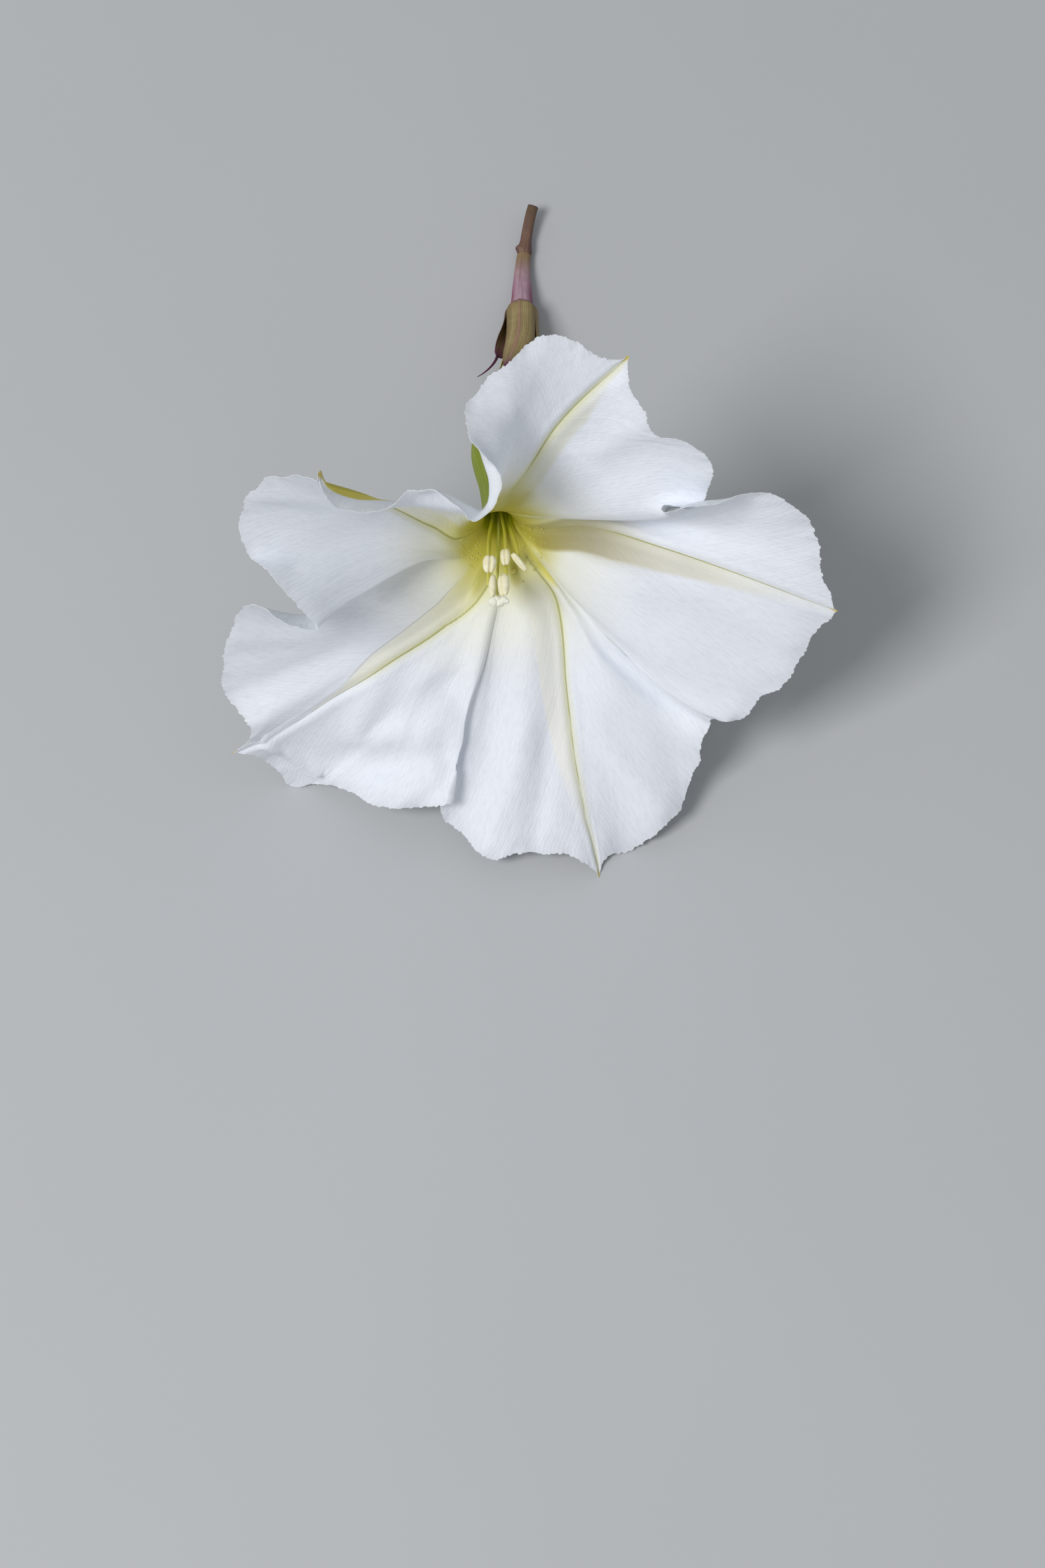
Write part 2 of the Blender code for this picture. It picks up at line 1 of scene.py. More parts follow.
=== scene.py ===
"""Moonflower: the finish of the picked blossom.

The flower is shaped in its own frame, in millimetres: the origin is the middle of the throat, +Z runs
out of the mouth, and azimuths are degrees about that axis.  lay_down() carries points from there to
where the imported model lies.  "Place" runs from 0 to 1 around the limb and "radial" from the throat at
0 to the rim at 1; "run" is the distance in mm from the throat along the sheet.
"""
import math

import bpy
import numpy as np
from mathutils import Matrix, Vector


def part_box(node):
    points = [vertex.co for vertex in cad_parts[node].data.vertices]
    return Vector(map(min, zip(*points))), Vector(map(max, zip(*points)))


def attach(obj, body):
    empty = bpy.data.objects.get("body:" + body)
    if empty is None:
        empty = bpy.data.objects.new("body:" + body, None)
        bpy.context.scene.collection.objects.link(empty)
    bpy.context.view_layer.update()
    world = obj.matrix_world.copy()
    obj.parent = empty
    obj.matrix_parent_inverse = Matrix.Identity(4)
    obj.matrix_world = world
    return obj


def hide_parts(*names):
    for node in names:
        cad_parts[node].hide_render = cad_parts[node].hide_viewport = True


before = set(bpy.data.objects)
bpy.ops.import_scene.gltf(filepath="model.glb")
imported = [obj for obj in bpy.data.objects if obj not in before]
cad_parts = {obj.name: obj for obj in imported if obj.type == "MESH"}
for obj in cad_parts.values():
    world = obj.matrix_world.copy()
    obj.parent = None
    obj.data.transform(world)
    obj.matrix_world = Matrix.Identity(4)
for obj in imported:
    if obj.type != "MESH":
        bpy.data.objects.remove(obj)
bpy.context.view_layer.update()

MM = 0.001

# Lying down: the azimuth that turns to face the floor, and how far the mouth tips up.
LAY_ROLL = 268.60
LAY_PITCH = 32.96

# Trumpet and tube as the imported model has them, in mm.
CAD_LIMB_WALL = 0.55
CAD_TUBE_WALL = 0.40
CAD_RINGS = 13
CAD_STEP = 3
THROAT_RADIUS = 3.0
THROAT_TWIST = 30.0
NECK_RADIUS = 7.5
NECK_HEIGHT = 9.0
NECK_TWIST = 24.0
TUBE_RADII = ((0.0, 3.0), (-11.0, 2.95), (-26.0, 2.9), (-50.0, 2.6), (-66.0, 2.3), (-75.2, 2.3))
AXIS = ((0, 0, 12), (0, 0, 0), (-0.8, 0.3, -11), (-2.8, 1.2, -25), (1.0, 4, -45), (4.6, 7, -62),
        (4.7, 9.6, -75), (5.2, 15.5, -88), (7, 23, -95.5), (10.4, 30, -101))
BASE_AT = -75.6
NODE_AT = -91.2
CUT_AT = -102.6

# Edge of the limb, counterclockwise from the tip of the east lobe: azimuth, reach, height.
# A name marks a lobe's tip or the pleat between two lobes, with its place around the limb.
EDGE = (
    ("tip", 0.0, (355.5, 67, 27)),
    (358.6, 65.9, 27), (2, 64.4, 27), (8, 64.2, 27), (13, 63.6, 28), (18.4, 61.9, 30), (21.6, 60, 30.2),
    (25.3, 55.4, 30.5), (28.3, 51, 32.5), (30.5, 47.5, 34.5), (33.6, 44.2, 36), (35.3, 42.3, 37),
    ("pleat", 0.1, (37.5, 40.6, 38)),
    (33, 41.5, 34), (28.5, 43.5, 30), (28.5, 45.3, 29.5), (31, 48, 30.3), (35, 50.5, 32), (40, 51.8, 33),
    (44, 51.3, 33), (48, 50, 33), (50, 48, 32), (56, 50.8, 32), (60.3, 52.5, 31),
    (63.3, 55.3, 30.5),
    ("tip", 0.2, (65, 57.8, 30)),
    (68, 56.7, 30), (72, 57.3, 30), (76, 58.5, 30), (80, 59, 30), (82.5, 57.7, 30), (86, 55, 31),
    (90, 51.5, 32), (94, 48, 33), (96, 46, 36), (97, 42, 40), (94, 39, 41), (91, 37, 42.5),
    (89, 35, 45), (90, 32, 45), (94, 29, 45),
    ("pleat", 0.3, (98, 28, 46)),
    (101, 30, 46), (104, 31, 45), (108, 33, 43.5), (112, 34, 42), (115, 34, 41), (119, 34.5, 40),
    (126.9, 33.7, 40.5), (131.7, 35.5, 42), (135.4, 38, 43), (136.9, 41.6, 44), (135.6, 45.6, 45),
    ("tip", 0.4, (134, 48, 45)),
    (137.5, 51, 42), (141, 51.7, 40), (144, 53.8, 38), (147.5, 54.2, 37), (151, 54.8, 36),
    (155, 54, 36), (158.5, 53, 36), (161.5, 51.5, 37), (163.5, 49.3, 38), (164, 47, 40),
    (166.5, 43.2, 42), (170.5, 39.6, 43), (175, 36.3, 44),
    ("pleat", 0.5, (177, 35, 44)),
    (174, 36.5, 35.5), (179, 37, 34.5), (184, 35.5, 37.5), (182, 38.5, 38), (180, 42, 37.5),
    (178, 46, 35.5), (178, 47.4, 35), (181.5, 50, 32), (187, 53.2, 30), (194, 56.7, 28),
    (199, 58.6, 27), (206, 60.7, 27), (208, 60.2, 27), (213, 60.4, 28), (215.9, 62.2, 26.5),
    ("tip", 0.6, (217, 67.3, 25)),
    (219.7, 65.4, 24), (223.5, 66.5, 21.5), (227.4, 67.6, 19.5), (231.8, 68.7, 18), (233.5, 66.1, 18.5),
    (235.2, 63, 21), (239.5, 60.3, 24), (242.5, 58.3, 27), (248.5, 55.6, 29), (255, 52.1, 30),
    ("pleat", 0.7, (258, 50.2, 31)),
    (256, 51.3, 28.5), (259, 56.4, 29), (262, 57.4, 31), (267, 60.8, 34), (269, 61.4, 34),
    (272.5, 60.3, 34), (276, 59.8, 34), (280, 60.7, 34), (284, 62.6, 34), (287, 66.2, 34),
    ("tip", 0.8, (287.5, 68.6, 33.5)),
    (289, 66.5, 32), (293.5, 68, 29.5), (299.5, 66.8, 28), (306, 65, 26), (309, 63.1, 25),
    (312.5, 60.4, 24.5), (319, 56.1, 25),
    ("pleat", 0.9, (324, 54.5, 25.5)),
    (326, 57, 26), (327.5, 58.7, 26), (333.5, 59.4, 26), (335.5, 61.3, 26), (340, 62.8, 26),
    (345.5, 63, 26), (351.5, 64.8, 26),
)

# Two rings inside the edge: place around the limb, azimuth, reach, height.
OUTER_RING = (
    (0.00, 8, 34, 20), (0.06, 17, 34, 16.5), (0.10, 26.5, 33, 24.5), (0.15, 48, 35, 24),
    (0.20, 71.5, 36, 23), (0.25, 84, 35, 28), (0.30, 96, 22, 33), (0.35, 125, 25, 30),
    (0.40, 138, 29, 27), (0.45, 158, 34, 27), (0.492, 173.1, 27.5, 30.6),
    (0.50, 177, 26.4, 31), (0.511, 176, 28.5, 25.5),
    (0.523, 187, 29, 22.5), (0.55, 203, 34, 22), (0.60, 222.5, 34, 21), (0.65, 242, 34, 22.5),
    (0.70, 260, 33, 23.5), (0.711, 259.3, 33, 21.3), (0.725, 264, 34, 19.8), (0.75, 277, 36, 22.5),
    (0.80, 295, 36, 19), (0.85, 310, 35, 20), (0.895, 323, 35, 18), (0.91, 326, 35, 21),
    (0.95, 345, 35, 22.5),
)
INNER_RING = (
    (0.00, 18, 18, 12.5), (0.06, 26, 17, 11), (0.10, 33, 16.5, 15), (0.15, 52, 16.5, 15.5),
    (0.20, 75, 18, 14), (0.25, 92, 16, 17), (0.30, 108, 12, 19), (0.35, 122, 15, 18),
    (0.40, 150, 14, 14), (0.45, 168, 16, 17), (0.492, 173.9, 15, 17.6),
    (0.50, 177, 14.7, 17.6), (0.511, 174, 15.5, 14.9),
    (0.523, 184, 16, 13.7), (0.55, 212, 17, 15), (0.60, 238, 17, 13), (0.65, 252, 17, 14.5),
    (0.70, 263, 17, 14.8), (0.711, 264.5, 17, 13.8), (0.725, 269, 17, 13.2), (0.75, 288, 17, 15),
    (0.80, 310, 17, 11), (0.85, 318, 18, 12), (0.895, 323, 18, 11.5), (0.91, 328, 18, 14),
    (0.95, 350, 17.5, 16),
)

# Radials of all six rings: one inside the tube, the throat, the neck, the two above and the edge;
# and how far along the tube's line the first lies.
RING_AT = (-0.085, 0.0, 0.15, 0.33, 0.60, 1.0)
BELOW_THROAT = -6.0
LOBES = 5
HALVES = 2 * LOBES

# Rolled margins, fuller just inside the edge: place and half-width around the limb, radial and
# half-width along it, and the push in mm.
ROLLS = (
    (0.084, 0.018, 0.86, 0.14, (0.0, 1.6, -0.9)),
    (0.283, 0.022, 0.86, 0.14, (-2.3, 0.2, 0.0)),
    (0.322, 0.026, 0.86, 0.14, (-0.4, 1.6, -0.8)),
)

# Soft folds in the sheet: half-width in mm, rise towards the inside in mm, then place and radial
# of points along the fold, from where it fades in.
FOLDS = (
    (2.0, -1.6, ((0.862, 0.36), (0.871, 0.58), (0.881, 0.78), (0.892, 0.98))),
    (0.9, -0.7, ((0.877, 0.50), (0.886, 0.68), (0.893, 0.84), (0.900, 1.00))),
    (2.3, 1.9, ((0.876, 0.36), (0.889, 0.58), (0.899, 0.80), (0.908, 0.98))),
    (5.0, -1.3, ((0.958, 0.46), (0.949, 0.68), (0.938, 0.96))),
    (3.0, 0.7, ((0.982, 0.56), (0.976, 0.78), (0.972, 0.96))),
    (4.0, -1.1, ((0.826, 0.62), (0.842, 0.76), (0.858, 0.90), (0.868, 0.99))),
    (2.6, 0.6, ((0.812, 0.62), (0.826, 0.78), (0.842, 0.96))),
    (4.4, -1.4, ((0.640, 0.50), (0.658, 0.52), (0.676, 0.54), (0.688, 0.60))),
    (4.0, -1.5, ((0.634, 0.90), (0.650, 0.86), (0.664, 0.82), (0.682, 0.74))),
    (3.4, 1.2, ((0.606, 0.52), (0.620, 0.68), (0.636, 0.78), (0.655, 0.72))),
    (3.0, 1.0, ((0.664, 0.62), (0.670, 0.72), (0.690, 0.90), (0.694, 0.98))),
    (3.0, 0.9, ((0.758, 0.50), (0.750, 0.75), (0.744, 0.97))),
    (2.6, -0.9, ((0.774, 0.55), (0.768, 0.80), (0.764, 0.97))),
    (1.4, 1.3, ((0.590, 0.995), (0.606, 0.950), (0.625, 0.930), (0.642, 0.955))),
    (3.0, 1.2, ((0.718, 0.10), (0.720, 0.45), (0.720, 0.75), (0.716, 1.00))),
    (3.0, 0.7, ((0.165, 0.50), (0.170, 0.75), (0.176, 0.96))),
    (3.4, -1.0, ((0.232, 0.50), (0.246, 0.75), (0.256, 0.98))),
    (3.2, 0.7, ((0.545, 0.50), (0.552, 0.80), (0.556, 0.96))),
    (2.8, -0.7, ((0.568, 0.50), (0.574, 0.80), (0.578, 0.97))),
    (3.6, -0.5, ((0.430, 0.36), (0.460, 0.58), (0.472, 0.80), (0.480, 0.96))),
    (3.0, 0.7, ((0.412, 0.52), (0.424, 0.75), (0.434, 0.95))),
)

# Points that a fold's line is read at, how many of the sheet's points are passed over in the search
# for those near it, and how near they lie, in mm.
FOLD_STEPS = 14
FOLD_SKIP = 7
FOLD_REACH = 40.0

# Ruffles of the rim: height and cell in mm, seed, and how far from the rim they start and are full.
RUFFLES = ((0.75, 10.0, 20, 17.0, 1.0), (0.42, 4.4, 21, 8.0, 0.5), (0.11, 1.7, 22, 3.5, 0.2),
           (0.07, 0.9, 23, 1.8, 0.0))

# Rim teeth: their depth, width, how far back the notches lie, and a slower swell under them, in mm.
TOOTH_DEPTH = 0.62
TOOTH_WIDTH = 1.0
TOOTH_SET_BACK = 0.32
TOOTH_SWELL = 0.40

# The midrib's groove and the raised shoulders beside it, in mm.
RIB_GROOVE = 0.30
RIB_SHOULDER = 0.16

# Columns of the fine sheet at its rim, how many of them each coarser part skips, the fine steps over
# half a lobe that they are laid out by, and how much closer they lie by the midribs and the pleats.
RIM_COLUMNS = 1920
MID_SKIP = 3
INNER_SKIP = 6
TUBE_SKIP = 24
HALF_STEPS = 800
CLOSER = 1.3
CLOSER_REACH = 0.006
INNER_RADIALS = np.concatenate([[-0.04, -0.02], np.arange(0.0, 0.335, 0.0127)])
MID_RADIALS = np.linspace(0.345, 0.948, 35)
RIM_RADIALS = np.array([0.960, 0.970, 0.979, 0.987, 0.9935, 1.0])
ALL_RADIALS = np.concatenate([INNER_RADIALS, MID_RADIALS, RIM_RADIALS])
SKIPS = [INNER_SKIP] * len(INNER_RADIALS) + [MID_SKIP] * len(MID_RADIALS) + [1] * len(RIM_RADIALS)
TUBE_STATIONS = np.concatenate([[-4.6, -6.4], np.linspace(-8.2, -75.2, 40)])
SHEET_WALL = 0.26
RIM_WALL = 0.09
TUBE_WALL = 0.36

# The soft cream half of each lobe beside its midrib, and how far the midrib swings to the next lobe's
# side: widths and swings in mm at these distances from the throat, one row for each lobe from the
# east one counterclockwise.
BAND_RUNS = (0, 8, 18, 28, 38, 48, 60, 75)
BAND_WIDTHS = (
    (3.0, 4.0, 4.9, 6.1, 5.5, 4.1, 2.9, 0.6),
    (2.4, 3.0, 3.6, 3.7, 4.0, 4.1, 1.9, 0.2),
    (2.4, 3.2, 4.4, 5.0, 4.6, 3.2, 1.2, 0.0),
    (2.6, 4.8, 6.6, 5.9, 4.1, 1.6, 0.2, 0.0),
    (2.8, 4.8, 7.2, 7.6, 6.4, 4.6, 2.9, 0.5),
)

# The most of its half lobe that a band fills.
BAND_SHARE = 0.8

RIB_RUNS = (0, 12, 17, 24, 36, 52, 66, 76)
RIB_SWINGS = (
    (0.0, 0.0, 0.0, 0.0, 0.0, 0.0, 0.0, 0.0),
    (0.0, 0.0, 0.0, 0.0, 0.0, 0.0, 0.0, 0.0),
    (0.3, 1.0, 1.0, 1.0, 0.6, 0.0, 0.0, 0.0),
    (0.5, 3.0, 2.4, 0.8, 0.6, 0.5, 1.8, 0.6),
    (0.6, 1.8, 1.3, 0.5, -0.7, -1.5, -1.4, 0.2),
)

# The soft points that end the lobes: how long, and which way they bend, in the same order.
AWNS = (
    (0.7, (1.0, -0.1, 0.2)), (0.9, (0.5, 0.9, 0.0)), (2.1, (0.02, 0.82, -0.57)),
    (1.1, (-0.9, -0.4, 0.1)), (0.9, (0.25, -0.95, 0.2)),
)

# Stamens: where each filament leaves the tube wall (azimuth), where it passes the throat
# (azimuth, reach), then its anther's middle, the way the anther points and its length and width.
STAMENS = (
    (145, (145, 1.5), (-1.7, -0.4, 17.1), (-0.12, -0.80, 0.58), 3.8, 2.7),
    (70, (70, 1.4), (1.45, -0.1, 14.9), (0.02, -0.62, 0.78), 3.7, 2.0),
    (0, (0, 1.7), (4.2, -0.6, 16.0), (0.62, -0.72, 0.30), 4.7, 1.5),
    (215, (210, 1.75), (-1.05, -3.5, 20.7), (-0.05, -0.45, 0.89), 5.5, 2.2),
    (290, (300, 1.6), (1.1, -2.6, 21.6), (0.05, -0.50, 0.86), 5.2, 2.5),
)
FILAMENT_FOOT = -56.0
FILAMENT_REACH = 1.6
FILAMENT_RADIUS = 0.34
FILAMENT_STEPS = 70
ANTHER_RINGS = 34
ANTHER_SIDES = 40
STYLE_RADIUS = 0.30
STYLE_STEPS = 90
STYLE_LINE = ((0.0, -0.3, 0.0), (0.0, -1.9, 8.0), (-0.1, -4.0, 15.0), (-0.1, -5.2, 20.5))
STIGMA_AT = (0.2, -3.6, 26.0)
STIGMA_RADIUS = 1.3
OVARY_HEIGHT = 4.2
GAP = 0.3

# Stigma: globes of its lobes, offset from its middle and radius in mm; and how finely a globe is made.
STIGMA_GLOBES = (((-1.05, -0.15, 0.05), 0.94), ((0.20, -0.20, -0.10), 0.98),
                 ((1.05, 0.25, 0.15), 0.82), ((1.55, 0.30, 0.35), 0.50),
                 ((-0.35, 0.25, -0.30), 0.72))
GLOBE_SIDES = 20
GLOBE_RINGS = 14

# Patches round the throat, golden and then olive: place and run, half-size in each, strength, colour.
# The first golden one is the throat's own yellow, the second is painted light that lifts a shaded hollow
# by the throat, and the olive ones are painted shadow beside and under the stamens and in hollows of the
# sheet.
THROAT_PATCHES = (
    ((0.862, 13.5), (0.030, 6.5), 0.90, (228, 216, 96)),
    ((0.500, 8.0), (0.100, 5.0), 0.60, (228, 216, 96)),
    ((0.625, 12.0), (0.035, 5.0), 0.70, (172, 166, 66)),
    ((0.755, 10.5), (0.024, 4.0), 0.70, (172, 166, 66)),
    ((0.172, 18.5), (0.014, 4.0), 0.16, (172, 166, 66)),
    ((0.905, 7.0), (0.020, 4.0), 0.30, (172, 166, 66)),
)

# Glands beside the throat: places and runs between which they lie, how many to the square
# millimetre, and their radius in mm; the rows and steps of the net they are scattered on; and the
# beads of nectar, place, run and radius.
GLAND_FIELDS = (((0.37, 0.57), (5.0, 11.0), 1.1, 0.19), ((0.82, 1.04), (5.5, 13.0), 0.75, 0.17),
                ((0.13, 0.20), (10.0, 17.0), 0.45, 0.15))
GLAND_GRID = (16, 7)
NECTAR_BEADS = ((0.752, 10.5, 0.62), (0.770, 13.0, 0.20))

# Sepals: azimuth, half-angle at the widest, inner radius, how far the blade's end stands off, blade
# length, awn length, awn flare.
OUTER_SEPALS = ((98, 58.5, 3.45, 0.5, 24.0, 4.0, 0.10), (215, 53, 3.45, 2.5, 10.8, 6.5, 0.95),
                (335, 58, 3.45, 0.25, 18.0, 4.5, 0.20))
INNER_SEPALS = ((35, 80, 2.8, 0.3, 21.0, 1.2, 0.1), (215, 82, 2.8, 0.3, 21.5, 1.2, 0.1))
SEPAL_WALL = 0.30
SEPAL_OUTLINE = ((0.0, 0.97), (0.08, 1.0), (0.25, 1.0), (0.5, 0.95), (0.72, 0.72), (0.88, 0.42),
                 (1.0, 0.16))
SEPAL_COLUMNS = 31
BLADE_RINGS = 44
AWN_RINGS = 16

# Stalk: radii in mm from the calyx to the cut, and where around it the side with the painted highlight
# faces, in turns.
PEDICEL_RADII = (2.75, 2.5, 2.35, 2.15, 1.95, 1.72, 1.55, 1.38)
PEDUNCLE_RADII = (1.5, 1.65, 1.5, 1.25, 1.2, 1.2)
STEM_RINGS = 60
STEM_SIDES = 40
HIGHLIGHT_SIDE = 0.26

# Camera in the flower's frame: how far it leans from the flower's axis, its distance along its own
# line of sight to the throat's plane, and the throat's offset from the middle of the picture, in mm.
VIEW_LEAN = 35.0
VIEW_DISTANCE = 710.8
VIEW_OFFSET = (-4.90, 54.13)
LENS = 80.0
SENSOR = 36.0

FLOOR_TONE = (186, 188, 191)
FLOOR_HALF = 4.0


# ---------------------------------------------------------------- curves and the petal sheet

def unit(vector):
    """The vector at length one."""
    vector = np.asarray(vector, float)
    return vector / np.linalg.norm(vector)


def at(azimuth, reach, height):
    """A point in the flower's frame from its azimuth, reach and height."""
    angle = math.radians(azimuth)
    return np.array([reach * math.cos(angle), reach * math.sin(angle), height])


def smooth_step(value, low, high):
    """0 below low, 1 above high, and a smooth rise between; low may be the higher one."""
    share = np.clip((np.asarray(value, float) - low) / (high - low), 0, 1)
    return share * share * (3 - 2 * share)


def lengths_along(points):
    """Length along a line of points up to each of them."""
    return np.concatenate([[0.0], np.cumsum(np.linalg.norm(np.diff(points, axis=0), axis=1))])


def slopes(places, points):
    """The direction of a smooth curve at each of its inner points."""
    result = np.zeros_like(points)
    for i in range(1, len(places) - 1):
        before = places[i] - places[i - 1]
        after = places[i + 1] - places[i]
        rise_in = (points[i] - points[i - 1]) / before
        rise_out = (points[i + 1] - points[i]) / after
        result[i] = (rise_in * after + rise_out * before) / (before + after)
    return result


def on_curve(places, points, slope, where, first=0):
    """A curve with the given slopes at its points, read at one place or many, from its first gap on."""
    places = np.asarray(places)
    k = np.clip(np.searchsorted(places, where, side="right") - 1, first, len(places) - 2)
    span = (places[k + 1] - places[k])[..., None]
    t = (where - places[k])[..., None] / span
    near = (2 * t**3 - 3 * t**2 + 1) * points[k] + (t**3 - 2 * t**2 + t) * span * slope[k]
    return near + (-2 * t**3 + 3 * t**2) * points[k + 1] + (t**3 - t**2) * span * slope[k + 1]


def around(places, points, where):
    """A closed smooth curve through the points, read at the places asked for."""
    places = np.concatenate([places[-2:] - 1, places, places[:2] + 1])
    points = np.concatenate([points[-2:], points, points[:2]])
    return on_curve(places, points, slopes(places, points), np.asarray(where, float) % 1.0)


def open_curve(places, points):
    """A reader of the open smooth curve through the points."""
    slope = slopes(places, points)
    slope[0] = (points[1] - points[0]) / (places[1] - places[0])
    slope[-1] = (points[-1] - points[-2]) / (places[-1] - places[-2])
    return lambda where: on_curve(places, points, slope, where)


def smooth_path(stations, steps):
    """An open smooth curve through the stations, as points spaced by length."""
    line = np.array(stations, float)
    places = lengths_along(line)
    return open_curve(places, line)(np.linspace(0, places[-1], steps))


def edge_curve():
    """Places around the limb and points of its edge, spaced by length between named stations."""
    points = []
    named = []
    for station in EDGE:
        if isinstance(station[0], str):
            named.append((len(points), station[1]))
            points.append(at(*station[2]))
        else:
            points.append(at(*station))
    count = len(points)
    places = np.zeros(count)
    closing = named[1:] + [(count, 1.0)]
    for (first, low), (last, high) in zip(named, closing):
        gone = lengths_along([points[i % count] for i in range(first, last + 1)])
        places[first:last] = low + (high - low) * gone[:-1] / gone[-1]
    return places, np.array(points)


def ring_curve(ring):
    """Places and points of one of the rings inside the edge."""
    return np.array([s[0] for s in ring]), np.array([at(*s[1:]) for s in ring])


def tube_curve():
    """A reader of the tube's line by the distance along it from the throat, in mm."""
    line = np.array(AXIS, float)
    gone = lengths_along(line)
    return open_curve((gone[1] - gone)[::-1], line[::-1])


RIM_CURVE = edge_curve()
LIMB_CURVES = (ring_curve(INNER_RING), ring_curve(OUTER_RING), RIM_CURVE)
TUBE_LINE = tube_curve()


def axis_frame(s):
    """Centre, side, depth and forward directions of the tube's line, s mm along it from the throat."""
    forward = unit(TUBE_LINE(s + 0.1) - TUBE_LINE(s - 0.1))
    side = unit(np.array([1.0, 0, 0]) - forward[0] * forward)
    return TUBE_LINE(s), side, np.cross(forward, side), forward


def spokes(s, angle):
    """Centre of the tube's line, and the directions away from it at one or many angles in radians."""
    centre, side, depth = axis_frame(s)[:3]
    angle = np.asarray(angle)[..., None]
    return centre, np.cos(angle) * side + np.sin(angle) * depth


def tube_radius(s):
    """Radius of the tube s mm along its line."""
    places, radii = zip(*TUBE_RADII[::-1])
    return float(np.interp(s, places, radii))


def circle(around_places, s, radius, twist=THROAT_TWIST):
    """A ring about the tube's line."""
    centre, away = spokes(s, np.radians(360 * np.asarray(around_places) + twist))
    return centre + radius * away


def limb(places, radial):
    """The trumpet's surface on a grid, from the throat at 0 to the edge at 1."""
    places, radial = np.asarray(places), np.asarray(radial)
    neck_angle = np.radians(360 * places + NECK_TWIST)
    neck = np.stack([NECK_RADIUS * np.cos(neck_angle), NECK_RADIUS * np.sin(neck_angle),
                     np.full(len(places), NECK_HEIGHT)], 1)
    rings = np.stack([circle(places, BELOW_THROAT, tube_radius(BELOW_THROAT)),
                      circle(places, 0.0, THROAT_RADIUS), neck,
                      *(around(*curve, places) for curve in LIMB_CURVES)])
    slope = slopes(RING_AT, rings)
    last = (rings[-1] - rings[-2]) / (RING_AT[-1] - RING_AT[-2])
    slope[-1] = 1.5 * last - 0.5 * slope[-2]
    grid = np.stack([on_curve(RING_AT, rings, slope, where, 1) for where in radial], 1)
    for place, wide, middle, long, push in ROLLS:
        across = np.clip(1 - ((places - place) / wide) ** 2, 0, 1) ** 2
        along = np.clip(1 - ((radial - middle) / long) ** 2, 0, 1) ** 2
        grid += across[:, None, None] * along[None, :, None] * np.array(push)
    return grid


def sheet_normal(grid):
    """Directions square to a grid that is closed around; they point to the flower's outside."""
    normal = np.cross(np.roll(grid, -1, 0) - np.roll(grid, 1, 0), np.gradient(grid, axis=1))
    return normal / np.linalg.norm(normal, axis=2, keepdims=True)


# ---------------------------------------------------------------- laying the flower down

def turning():
    """The turn from the flower's frame to the way that it lies."""
    roll = math.radians(-90.0 - LAY_ROLL)
    pitch = math.radians(90.0 - LAY_PITCH)
    about_z = np.array([[math.cos(roll), -math.sin(roll), 0], [math.sin(roll), math.cos(roll), 0],
                        [0, 0, 1]])
    about_x = np.array([[1, 0, 0], [0, math.cos(pitch), -math.sin(pitch)],
                        [0, math.sin(pitch), math.cos(pitch)]])
    return about_x @ about_z


def resting_shift():
    """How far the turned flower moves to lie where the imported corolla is."""
    places = RIM_CURVE[0]
    places = places[:len(places) // CAD_STEP * CAD_STEP]
    grid = limb(places, np.concatenate([[-0.04], np.linspace(0.0, 1.0, CAD_RINGS)]))
    wall = np.interp(np.arange(grid.shape[1]), [0, 3], [CAD_TUBE_WALL, CAD_LIMB_WALL])[None, :, None]
    out = sheet_normal(grid) * wall / 2
    both = np.concatenate([grid + out, grid - out]).reshape(-1, 3) @ TURN.T
    return np.array(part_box("corolla")[0]) - both.min(0) * MM


TURN = turning()
SHIFT = resting_shift()


def lay_down(points):
    """Points of the flower's frame, in mm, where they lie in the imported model, in metres."""
    return np.asarray(points, float) @ TURN.T * MM + SHIFT


def add_object(name, data):
    """A new object in the scene."""
    made = bpy.data.objects.new(name, data)
    bpy.context.scene.collection.objects.link(made)
    return made


def store(mesh, key, values):
    """Writes a number for each point of the mesh."""
    made = mesh.attributes.new(key, "FLOAT", "POINT")
    made.data.foreach_set("value", np.asarray(values, np.float32))


def mesh_piece(name, points, faces=(), numbers=None, edges=()):
    """A smooth mesh object from points in mm and faces or edges, with named numbers for its points."""
    mesh = bpy.data.meshes.new(name)
    mesh.from_pydata(lay_down(points).tolist(), edges,
                     [tuple(int(i) for i in face) for face in faces])
    mesh.update()
    mesh.shade_smooth()
    for key, values in (numbers or {}).items():
        store(mesh, key, values)
    return add_object(name, mesh)


def keep_above_floor(piece, lowest):
    """Lifts what would dip below the given heights, in mm, above the surface it lies on."""
    rest = np.zeros(len(piece.data.vertices) * 3)
    piece.data.vertices.foreach_get("co", rest)
    rest = rest.reshape(-1, 3)
    rest[:, 2] = np.maximum(rest[:, 2], np.asarray(lowest) * MM)
    piece.data.vertices.foreach_set("co", rest.ravel())
    piece.data.update()


def evaluated(piece, modifier):
    """The piece's mesh with the modifier worked in, and the modifier taken off."""
    graph = bpy.context.evaluated_depsgraph_get()
    made = bpy.data.meshes.new_from_object(piece.evaluated_get(graph))
    piece.modifiers.remove(modifier)
    old = piece.data
    piece.data = made
    made.name = piece.name
    bpy.data.meshes.remove(old)
    return made


def settle(piece, slot, *nodes):
    """The piece rides on the flower's one body and stands for CAD nodes, which it hides; its slot is not
    used.
    """
    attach(piece, "root")
    if nodes:
        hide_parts(*nodes)
    return piece


def faces_inwards(points, triangles):
    """Whether the triangles of a closed body face into it."""
    a, b, c = (points[triangles[:, i]] for i in range(3))
    return np.einsum("ij,ij->i", a, np.cross(b, c)).sum() < 0


